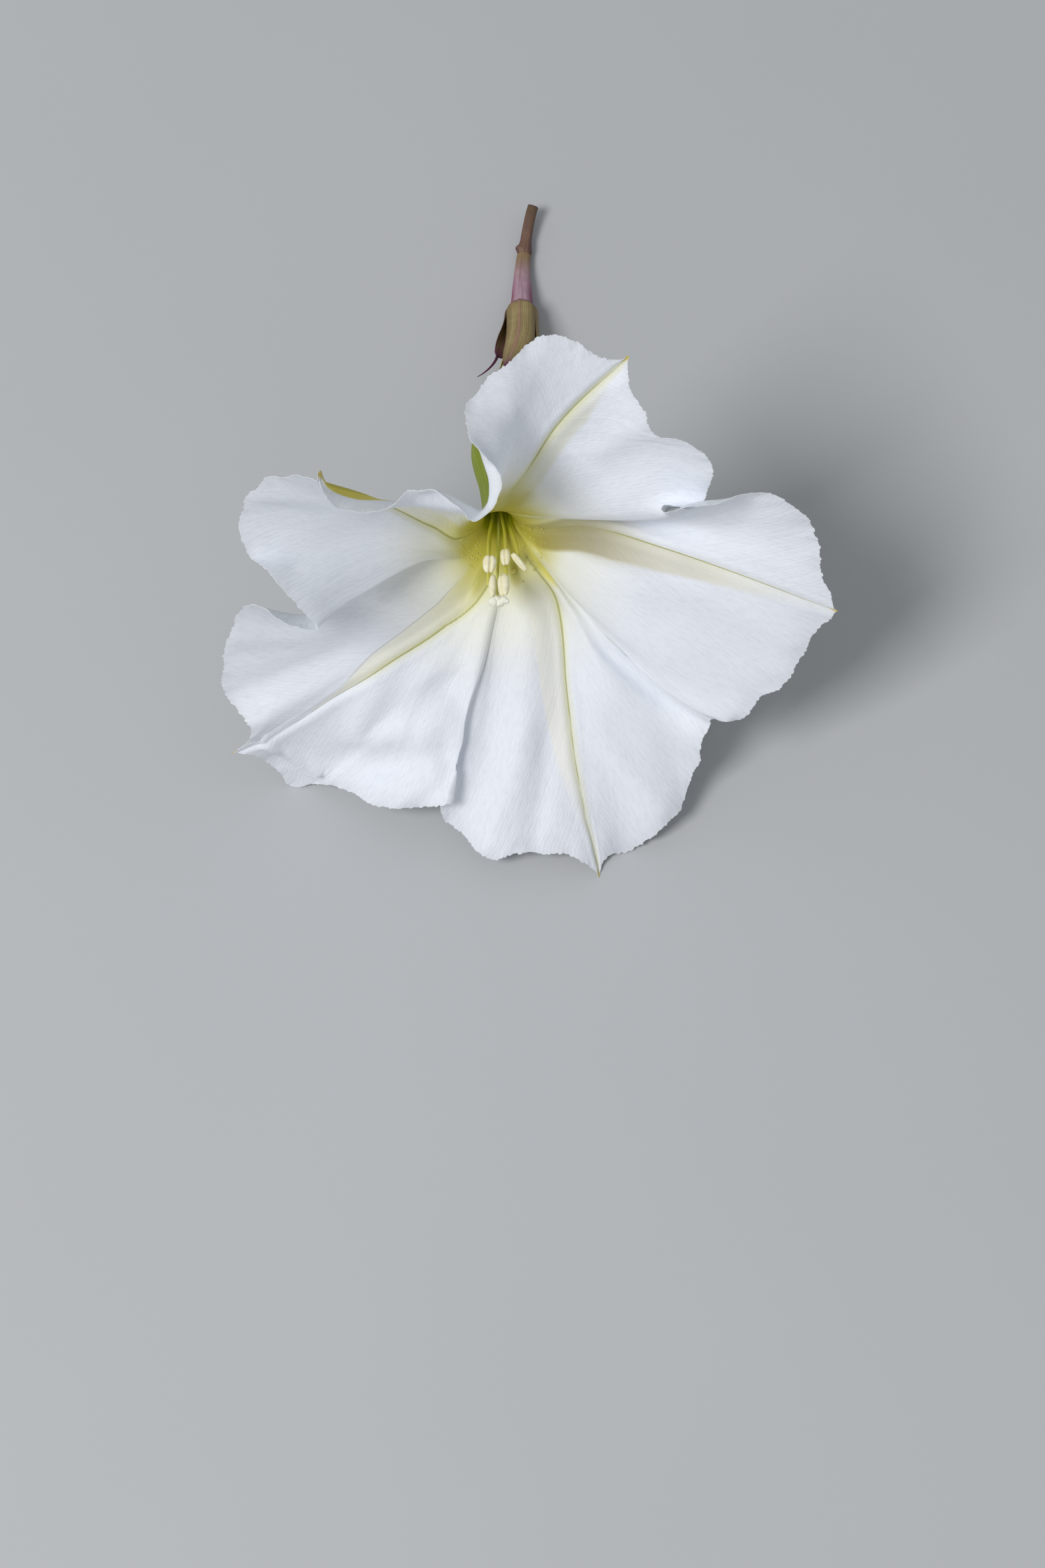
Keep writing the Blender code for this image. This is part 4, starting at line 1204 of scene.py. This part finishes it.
def gland_material():
    """Tiny wet glands and a bead of nectar: pale, yellowish and glossy."""
    material, tree = new_material(
        "gland", Roughness=0.22, Subsurface_Weight=0.4, Subsurface_Radius=(1.0, 1.0, 0.5),
        Subsurface_Scale=0.0006)
    patches = mottle(tree, 1500.0, 6000.0)[0]
    return dress(material, Base_Color=tint(patches, paint(216, 210, 128), paint(200, 192, 98)))


# ---------------------------------------------------------------- geometry node trees

def shape_group(name, sizes):
    """An empty geometry tree that takes a mesh, the sizes and a material."""
    return new_group(name, "GeometryNodeTree",
                     (("Geometry", "Geometry", None), *sizes, ("Material", "Material", None)),
                     (("Geometry", "Geometry"),))


def finish_tree(tree, given, result, geometry):
    """Ends a tree in Realize Instances and Set Material."""
    real = result_of(tree, "GeometryNodeRealizeInstances", {0: geometry})
    smooth = result_of(tree, "GeometryNodeSetShadeSmooth", {0: real, "Shade Smooth": True})
    coated = result_of(tree, "GeometryNodeSetMaterial", {0: smooth, "Material": given["Material"]})
    feed(result, {0: coated})
    return tree


def stored(tree, name):
    """A number stored on the mesh's points."""
    return result_of(tree, "GeometryNodeInputNamedAttribute", {"Name": name}, data_type="FLOAT")


def strand_tree():
    """A round or flattened strand along a line, as thick as the line's own girth."""
    tree, given, result = shape_group("strand", (("Sides", "Int", 14), ("Flatness", "Float", 1.0)))
    line = result_of(tree, "GeometryNodeMeshToCurve", {0: given["Geometry"]})
    ring = result_of(tree, "GeometryNodeCurvePrimitiveCircle", {"Resolution": given["Sides"],
                                                                "Radius": 1.0})
    oval = result_of(tree, "GeometryNodeTransform", {0: ring,
                                                     "Scale": vector(1.0, given["Flatness"], 1.0)})
    return finish_tree(tree, given, result, result_of(tree, "GeometryNodeCurveToMesh", {
        0: line, 1: oval, "Scale": stored(tree, "girth"), "Fill Caps": True}))


def grain_tree():
    """Small round grains scattered over a surface; the surface itself can be kept under them."""
    tree, given, result = shape_group("grains", (
        ("Density", "Float", 1e6), ("Grain Radius", "Float", 0.0001), ("Smallest", "Float", 0.6),
        ("Largest", "Float", 1.3), ("Detail", "Int", 1), ("Seed", "Int", 1),
        ("Keep Surface", "Bool", True)))
    spread = put(tree, "GeometryNodeDistributePointsOnFaces", {
        0: given["Geometry"], "Density": stored(tree, "grainy") * given["Density"],
        "Seed": given["Seed"]}).outputs
    grain = result_of(tree, "GeometryNodeMeshIcoSphere", {"Radius": given["Grain Radius"],
                                                          "Subdivisions": given["Detail"]})
    size = result_of(tree, "FunctionNodeRandomValue", {
        2: given["Smallest"], 3: given["Largest"], "Seed": given["Seed"]}, 1, data_type="FLOAT")
    placed = result_of(tree, "GeometryNodeInstanceOnPoints", {
        0: Value(spread["Points"]), "Instance": grain, "Rotation": Value(spread["Rotation"]),
        "Scale": size})
    kept = result_of(tree, "GeometryNodeSwitch", {0: given["Keep Surface"], 2: given["Geometry"]},
                     input_type="GEOMETRY")
    both = put(tree, "GeometryNodeJoinGeometry", {0: placed})
    return finish_tree(tree, given, result, Value(feed(both, {0: kept}).outputs[0]))


STRAND = strand_tree()
GRAINS = grain_tree()


def run_tree(piece, tree, **values):
    """The piece after a geometry tree, as a plain mesh with no modifier left on it."""
    modifier = piece.modifiers.new("shape", "NODES")
    modifier.node_group = tree
    for item in tree.interface.items_tree:
        key = item.name.replace(" ", "_")
        if item.in_out == "INPUT" and key in values:
            modifier[item.identifier] = values[key]
    evaluated(piece, modifier)
    return piece


def scatter(piece, material, density, radius, smallest, largest, detail, seed, keep=True):
    """The piece under grains: so many to the square millimetre, of a radius in mm."""
    return run_tree(piece, GRAINS, Density=density / MM ** 2, Grain_Radius=radius * MM,
                    Smallest=smallest, Largest=largest, Detail=detail, Seed=seed, Keep_Surface=keep,
                    Material=material)


def strand(name, path, girth, flatness, material):
    """A strand piece along a path in mm."""
    count = len(path)
    numbers = {"girth": np.asarray(girth, np.float32) * MM, "along": np.linspace(0, 1, count)}
    piece = mesh_piece(name, path, numbers=numbers, edges=[(i, i + 1) for i in range(count - 1)])
    return run_tree(piece, STRAND, Sides=14, Flatness=flatness, Material=material)


# ---------------------------------------------------------------- stamens and pistil

def anther_point(u, angle, lean):
    """Across, back and height of a point of an anther of half-length one; and how far it is sunk in a
    cleft or lies on a seam, which sets the painted shade there.
    """
    girth = (1 - abs(u) ** 2.7) ** 0.5
    cos, sin = math.cos(angle), math.sin(angle)
    front, behind = max(0.0, -sin), max(0.0, sin)
    x = math.copysign(abs(cos) ** 0.85, cos) * girth * (1.0 - 0.16 * u)
    cleft = math.exp(-(x - lean * u) ** 2 / 0.045)
    seam = math.exp(-(abs(x) - 0.62) ** 2 / 0.006) * front
    y = sin * girth + (cleft * (0.50 * front - 0.26 * behind) * girth + 0.07 * seam)
    z = u * (1 - 0.16 * cleft * u * u) + 0.05 * x * x
    return x, y, z, min(1.0, 0.5 * cleft * max(front, behind) + 0.3 * seam)


def anther(number_of, middle, pointing, back, length, width, material):
    """A two-chambered anther: a cleft sunk well in at the front, a shallow one behind, mealy all over,
    with painted shade in the clefts.
    """
    across = unit(np.cross(pointing, back))
    lean = np.random.default_rng(40 + number_of).uniform(-0.12, 0.12)
    rings = []
    cleft_shade = []
    for u in np.sin(np.linspace(-0.5, 0.5, ANTHER_RINGS) * math.pi * 0.994):
        ring = []
        for i in range(ANTHER_SIDES):
            x, y, z, sunk = anther_point(u, 2 * math.pi * i / ANTHER_SIDES, lean)
            bend = 0.10 * (1 - u * u)
            ring.append(middle + 0.5 * length * z * pointing + 0.5 * width * x * across
                        + (0.36 * width * y + bend * 0.3) * back)
            cleft_shade.append(sunk)
        rings.append(ring)
    points, faces = closed_grid(rings)
    cleft_shade.extend([0.0, 0.0])
    numbers = {"cleft_shade": cleft_shade, "grainy": [1.0 - 0.7 * d for d in cleft_shade]}
    piece = mesh_piece("anther_lobes_%d" % number_of, points, faces, numbers)
    return scatter(piece, material, 9.0, 0.06, 0.6, 1.25, 1, number_of)


def stamens():
    """Five filaments that rise from the tube wall, each with its anther."""
    green = strand_material("filament", paint(168, 171, 24), paint(196, 195, 46), paint(218, 212, 108))
    meal = pollen_material("anther", paint(243, 239, 212), paint(224, 212, 160))
    for number_of, (foot, passes, middle, pointing, length, width) in enumerate(STAMENS, 1):
        middle = np.array(middle, float)
        pointing = unit(pointing)
        back = unit(np.cross(np.cross(pointing, [0, 0.5, -1.0]), pointing))
        tip = middle - 0.1 * length * pointing + back * (0.36 * width + 0.12)
        stations = []
        for s in np.arange(FILAMENT_FOOT, -4.0, 7.0):
            centre, away = spokes(s, math.radians(foot))
            stations.append(centre + (1.7 if s == FILAMENT_FOOT else FILAMENT_REACH) * away)
        throat = at(*passes, 0.0)
        stations.extend([throat, 0.5 * (throat + tip) + 0.4 * unit([tip[0], tip[1], 0.0]), tip])
        girth = FILAMENT_RADIUS * np.linspace(1.25, 0.95, FILAMENT_STEPS)
        piece = strand("filament_strand_%d" % number_of, smooth_path(stations, FILAMENT_STEPS),
                       girth, 0.7, green)
        settle(piece, "filament", "filament_%d" % number_of)
        piece = anther(number_of, middle, pointing, back, length, width, meal)
        settle(piece, "anther", "anther_%d" % number_of)


def globe_rings(centre, radius):
    """Rings of a ball."""
    angle = np.linspace(0, 2 * math.pi, GLOBE_SIDES, endpoint=False)[:, None]
    away = np.cos(angle) * [1, 0, 0] + np.sin(angle) * [0, 1, 0]
    return [np.asarray(centre) + radius * (math.sin(polar) * away
                                           + math.cos(polar) * np.array([0, 0, 1.0]))
            for polar in np.linspace(0.06, math.pi - 0.06, GLOBE_RINGS)]


def pistil():
    """The long style and the lumpy stigma; the ovary and its nectary keep their CAD shapes."""
    green = strand_material("style", paint(164, 174, 56), paint(188, 192, 84), paint(218, 214, 146))
    centre, _, _, forward = axis_frame(BASE_AT)
    end = np.array(STIGMA_AT) + unit([-0.1, -0.4, -1.0]) * (STIGMA_RADIUS * 0.6)
    stations = [centre + (OVARY_HEIGHT + GAP) * forward,
                *(axis_frame(s)[0] for s in np.arange(-66.0, -3.0, 8.0)), *STYLE_LINE, end]
    piece = strand("style_strand", smooth_path(stations, STYLE_STEPS),
                   np.full(STYLE_STEPS, STYLE_RADIUS), 1.0, green)
    settle(piece, "style", "style")

    points, faces = [], []
    for offset, radius in STIGMA_GLOBES:
        more, joined = closed_grid(globe_rings(np.array(STIGMA_AT) + offset, radius))
        faces.extend([tuple(i + len(points) for i in face) for face in joined])
        points.extend(more)
    meal = pollen_material("stigma", paint(242, 242, 228), paint(214, 210, 176))
    piece = mesh_piece("stigma_lobes", points, faces, {"grainy": np.ones(len(points))})
    scatter(piece, meal, 5.0, 0.15, 0.6, 1.2, 2, 5)
    merge = piece.modifiers.new("merge", "REMESH")
    merge.mode = "VOXEL"
    merge.voxel_size = 0.00007
    merge.use_smooth_shade = True
    made = evaluated(piece, merge)
    made.materials.clear()
    made.materials.append(meal)
    # The stigma gets no painted cleft shade.
    store(made, "cleft_shade", np.zeros(len(made.vertices)))
    settle(piece, "stigma", "stigma")

    for node, light, dark in (("ovary", paint(176, 186, 100), paint(140, 152, 66)),
                              ("nectary_disc", paint(206, 196, 96), paint(178, 160, 60))):
        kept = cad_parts[node].data.materials
        kept.clear()
        kept.append(pollen_material(node + "_flesh", light, dark))


# ---------------------------------------------------------------- glands

def sheet_spot(place, run):
    """The point of the petal's inner face at a place and a distance from the throat, and its normal."""
    before, line = limb([place - 0.002, place], np.linspace(0.0, 0.5, 101))
    k = int(np.searchsorted(lengths_along(line), run))
    return line[k], -unit(np.cross(line[k] - before[k], line[k + 1] - line[k]))


def glands():
    """Pale beads of sap on the petal beside the throat."""
    wet = gland_material()
    rows, steps = GLAND_GRID
    faces = [(i * steps + j, i * steps + j + 1, (i + 1) * steps + j + 1, (i + 1) * steps + j)
             for i in range(rows - 1) for j in range(steps - 1)]
    for number_of, (places, runs, density, radius) in enumerate(GLAND_FIELDS, 1):
        points = []
        for place in np.linspace(*places, rows):
            for run in np.linspace(*runs, steps):
                point, inward = sheet_spot(place, run)
                points.append(point + inward * (0.5 * SHEET_WALL))
        piece = mesh_piece("gland_beads_%d" % number_of, points, faces,
                           {"grainy": np.ones(len(points))})
        scatter(piece, wet, density, radius, 0.5, 1.2, 2, 3 + number_of, False)
        settle(piece, "petal")
    for number_of, (place, run, radius) in enumerate(NECTAR_BEADS, 1):
        point, inward = sheet_spot(place, run)
        centre = point + inward * (0.5 * SHEET_WALL + 0.45 * radius)
        piece = mesh_piece("nectar_bead_%d" % number_of, *closed_grid(globe_rings(centre, radius)))
        piece.data.materials.append(wet)
        settle(piece, "petal")


# ---------------------------------------------------------------- calyx and stalk

def with_ends(parts, first, last):
    """The numbers of a skinned body's rings, then those of the points at its two ends."""
    return np.concatenate([parts, [first, last]])


def sepal(name, azimuth, half_angle, inner, stand, blade, awn, flare, material, node):
    """A leathery sepal that wraps the tube's foot, drawn out into a soft awn."""
    spread_at = np.linspace(-1, 1, SEPAL_COLUMNS)
    column = spread_at[:, None]
    foot = BASE_AT - 0.05
    end = BASE_AT + GAP + 0.35 + blade
    rings = []
    for t in np.linspace(0, 1, BLADE_RINGS):
        share = float(np.interp(t, *zip(*SEPAL_OUTLINE)))
        s = foot + t * (end - foot)
        centre, away = spokes(s, np.radians(azimuth + (half_angle * share + 2.5) * spread_at))
        lift = stand * t * t + 0.35 * max(0.0, t - 0.7) / 0.3 * flare
        thick = SEPAL_WALL * (1.0 - 0.55 * np.abs(column) ** 3)
        nerve = 0.22 * np.exp(-(column * share / 0.10) ** 2) * (1 - 0.3 * t)
        low = inner + lift - 0.55 * max(0.0, 1.0 - (s - foot) / 1.8) ** 2
        rings.append([*(centre + (low + thick + nerve) * away), *(centre + low * away)[::-1]])
    _, side, depth, forward = axis_frame(end)
    middle = math.radians(azimuth)
    outward = math.cos(middle) * side + math.sin(middle) * depth
    sideways = -math.sin(middle) * side + math.cos(middle) * depth
    start = np.mean(rings[-1], axis=0)
    awn_at = np.linspace(0.06, 1.0, AWN_RINGS)
    for t in awn_at:
        bend = flare * t * 0.9
        point = start + awn * t * (math.cos(bend) * forward + math.sin(bend) * outward)
        line = point + 0.42 * (1 - 0.78 * t) * column * sideways
        bow = 0.20 * (1 - 0.6 * t) * np.sqrt(np.maximum(0.0, 1 - column ** 2 * 0.96)) * outward
        rings.append([*(line + bow), *(line - bow)[::-1]])
    along = np.concatenate([np.linspace(0, 1, BLADE_RINGS), 1.0 + awn_at])
    across = np.tile([*spread_at, *spread_at[::-1]], len(rings))
    numbers = {"along": with_ends(np.repeat(along, 2 * SEPAL_COLUMNS), 0.0, 2.0),
               "across": with_ends(across, 0.0, 0.0)}
    piece = mesh_piece(name, *closed_grid(rings), numbers)
    piece.data.materials.append(material)
    settle(piece, "sepal", node)


def calyx():
    """Three awned outer sepals over two blunter inner ones."""
    tan = sepal_material("outer_sepal", paint(158, 140, 92), paint(166, 120, 112),
                         paint(124, 104, 62), paint(108, 48, 80))
    brown = sepal_material("outer_sepal_brown", paint(112, 88, 60), paint(132, 84, 84),
                           paint(84, 62, 42), paint(98, 38, 74))
    olive = sepal_material("inner_sepal", paint(164, 152, 88), paint(158, 126, 96),
                           paint(178, 166, 112), paint(120, 60, 70))
    for kind, shapes, skins in (("outer", OUTER_SEPALS, (tan, brown, tan)),
                                ("inner", INNER_SEPALS, (olive, olive))):
        for i, (shape, skin) in enumerate(zip(shapes, skins), 1):
            sepal("%s_sepal_blade_%d" % (kind, i), *shape, skin, "%s_sepal_%d" % (kind, i))


def stem(node, stations, radii, material, swell=None):
    """A stem along the tube's line with faint ridges, closed at both ends."""
    fine = np.linspace(stations[0], stations[-1], STEM_RINGS)
    radius_at = np.interp(-fine, -np.array(stations), radii)
    angle = np.linspace(0, 2 * math.pi, STEM_SIDES, endpoint=False)
    along = (fine - fine[0]) / (fine[-1] - fine[0])
    rings = []
    for s, radius, t in zip(fine, radius_at, along):
        centre, away = spokes(s, angle)
        uneven = radius * (1 + 0.018 * np.cos(7 * angle + 0.5) + 0.012 * np.cos(11 * angle + 3 * t))
        if swell:
            uneven = uneven + swell(s, angle)
        rings.append(centre + uneven[:, None] * away)
    turn = angle - 2 * math.pi * HIGHLIGHT_SIDE
    numbers = {"along": with_ends(np.repeat(along, STEM_SIDES), 0.0, 1.0),
               "facing": with_ends(np.tile(np.cos(turn), STEM_RINGS), 0.0, 0.0),
               "aside": with_ends(np.tile(np.sin(turn), STEM_RINGS), 0.0, 0.0)}
    piece = mesh_piece(node + "_stem", *closed_grid(rings), numbers)
    piece.data.materials.append(material)
    keep_above_floor(piece, 0.02)
    settle(piece, node, node)


def scar(s, angle):
    """The swelling of a leaf's scar just past the stalk's joint."""
    towards = np.cos(angle - math.radians(150))
    return 0.6 * math.exp(-((s - NODE_AT + 1.2) / 0.7) ** 2) * np.clip(towards, 0, 1) ** 6


def stalk():
    """The pedicel under the calyx and the cut length of peduncle below its joint."""
    skin = stem_material("pedicel", paint(182, 150, 166), paint(140, 56, 100), paint(138, 114, 80),
                         paint(112, 78, 70))
    bark = stem_material("peduncle", paint(122, 92, 76), paint(98, 60, 62), paint(98, 76, 54),
                         paint(66, 42, 34))
    places = [BASE_AT, BASE_AT - 0.9, *np.linspace(BASE_AT - 3.0, NODE_AT + 0.3, 5), NODE_AT - 0.3]
    stem("pedicel", places, PEDICEL_RADII, skin)
    places = [NODE_AT, NODE_AT - 0.8, NODE_AT - 1.8, *np.linspace(NODE_AT - 3.2, CUT_AT, 3)]
    stem("peduncle", places, PEDUNCLE_RADII, bark, scar)


# ---------------------------------------------------------------- floor, lamps and camera

def floor():
    """A plain pale floor under the flower."""
    mesh = bpy.data.meshes.new("floor")
    mesh.from_pydata([(x * FLOOR_HALF, y * FLOOR_HALF, 0)
                      for x, y in ((-1, -1), (1, -1), (1, 1), (-1, 1))], [], [(0, 1, 2, 3)])
    material, tree = new_material("floor", Roughness=0.85, Specular_IOR_Level=0.2)
    light, dim = paint(*FLOOR_TONE), paint(*(step - 4 for step in FLOOR_TONE))
    mesh.materials.append(dress(material, Base_Color=tint(noise(on_object(tree), 9.0), light, dim)))
    piece = add_object("floor", mesh)


def lamp(name, direction, distance, size, level, colour):
    """A soft square lamp that shines on the flower; level 1 lights a facing surface as written."""
    data = bpy.data.lights.new(name, "AREA")
    data.shape = "SQUARE"
    data.size = size
    data.energy = level * math.pi ** 2 * distance ** 2
    data.color = colour
    made = add_object(name, data)
    towards = unit(direction)
    made.location = lay_down([(0, 0, 15)])[0] + distance * towards
    made.rotation_mode = "QUATERNION"
    made.rotation_quaternion = Vector(-towards).to_track_quat("-Z", "Y")


def light_up():
    """Even light from the sky and one soft lamp from above the top of the flower."""
    world = bpy.data.worlds.new("studio")
    world.use_nodes = True
    tree = world.node_tree
    sky = feed(tree.nodes["Background"], {"Color": (0.94, 0.97, 1.0, 1.0), "Strength": 0.42})
    shown = result_of(tree, "ShaderNodeBackground", {"Color": paint(*FLOOR_TONE), "Strength": 1.0})
    seen = result_of(tree, "ShaderNodeLightPath", output="Is Camera Ray")
    mixed = result_of(tree, "ShaderNodeMixShader", {0: seen, 1: Value(sky.outputs[0]), 2: shown})
    feed(tree.nodes["World Output"], {"Surface": mixed})
    bpy.context.scene.world = world
    lamp("key", TURN @ unit([-0.46, 0.50, 0.73]), 1.5, 0.5, 0.66, (1.0, 0.995, 0.985))
    bpy.context.scene.view_settings.view_transform = "Standard"


def camera():
    """The camera, which looks down into the trumpet."""
    lean = math.radians(VIEW_LEAN)
    right = np.array([1.0, 0.0, 0.0])
    back = np.array([0.0, math.sin(lean), math.cos(lean)])
    up = np.array([0.0, math.cos(lean), -math.sin(lean)])
    stand = back * VIEW_DISTANCE - right * VIEW_OFFSET[0] - up * VIEW_OFFSET[1]
    data = bpy.data.cameras.new("camera")
    data.lens = LENS
    data.sensor_width = SENSOR
    data.clip_start = 0.01
    made = add_object("camera", data)
    whole = np.eye(4)
    whole[:3, :3] = np.stack([TURN @ right, TURN @ up, TURN @ back], 1)
    whole[:3, 3] = lay_down([stand])[0]
    made.matrix_world = Matrix(whole.tolist())
    bpy.context.scene.camera = made


floor()
light_up()
camera()
corolla()
glands()
stamens()
pistil()
calyx()
stalk()
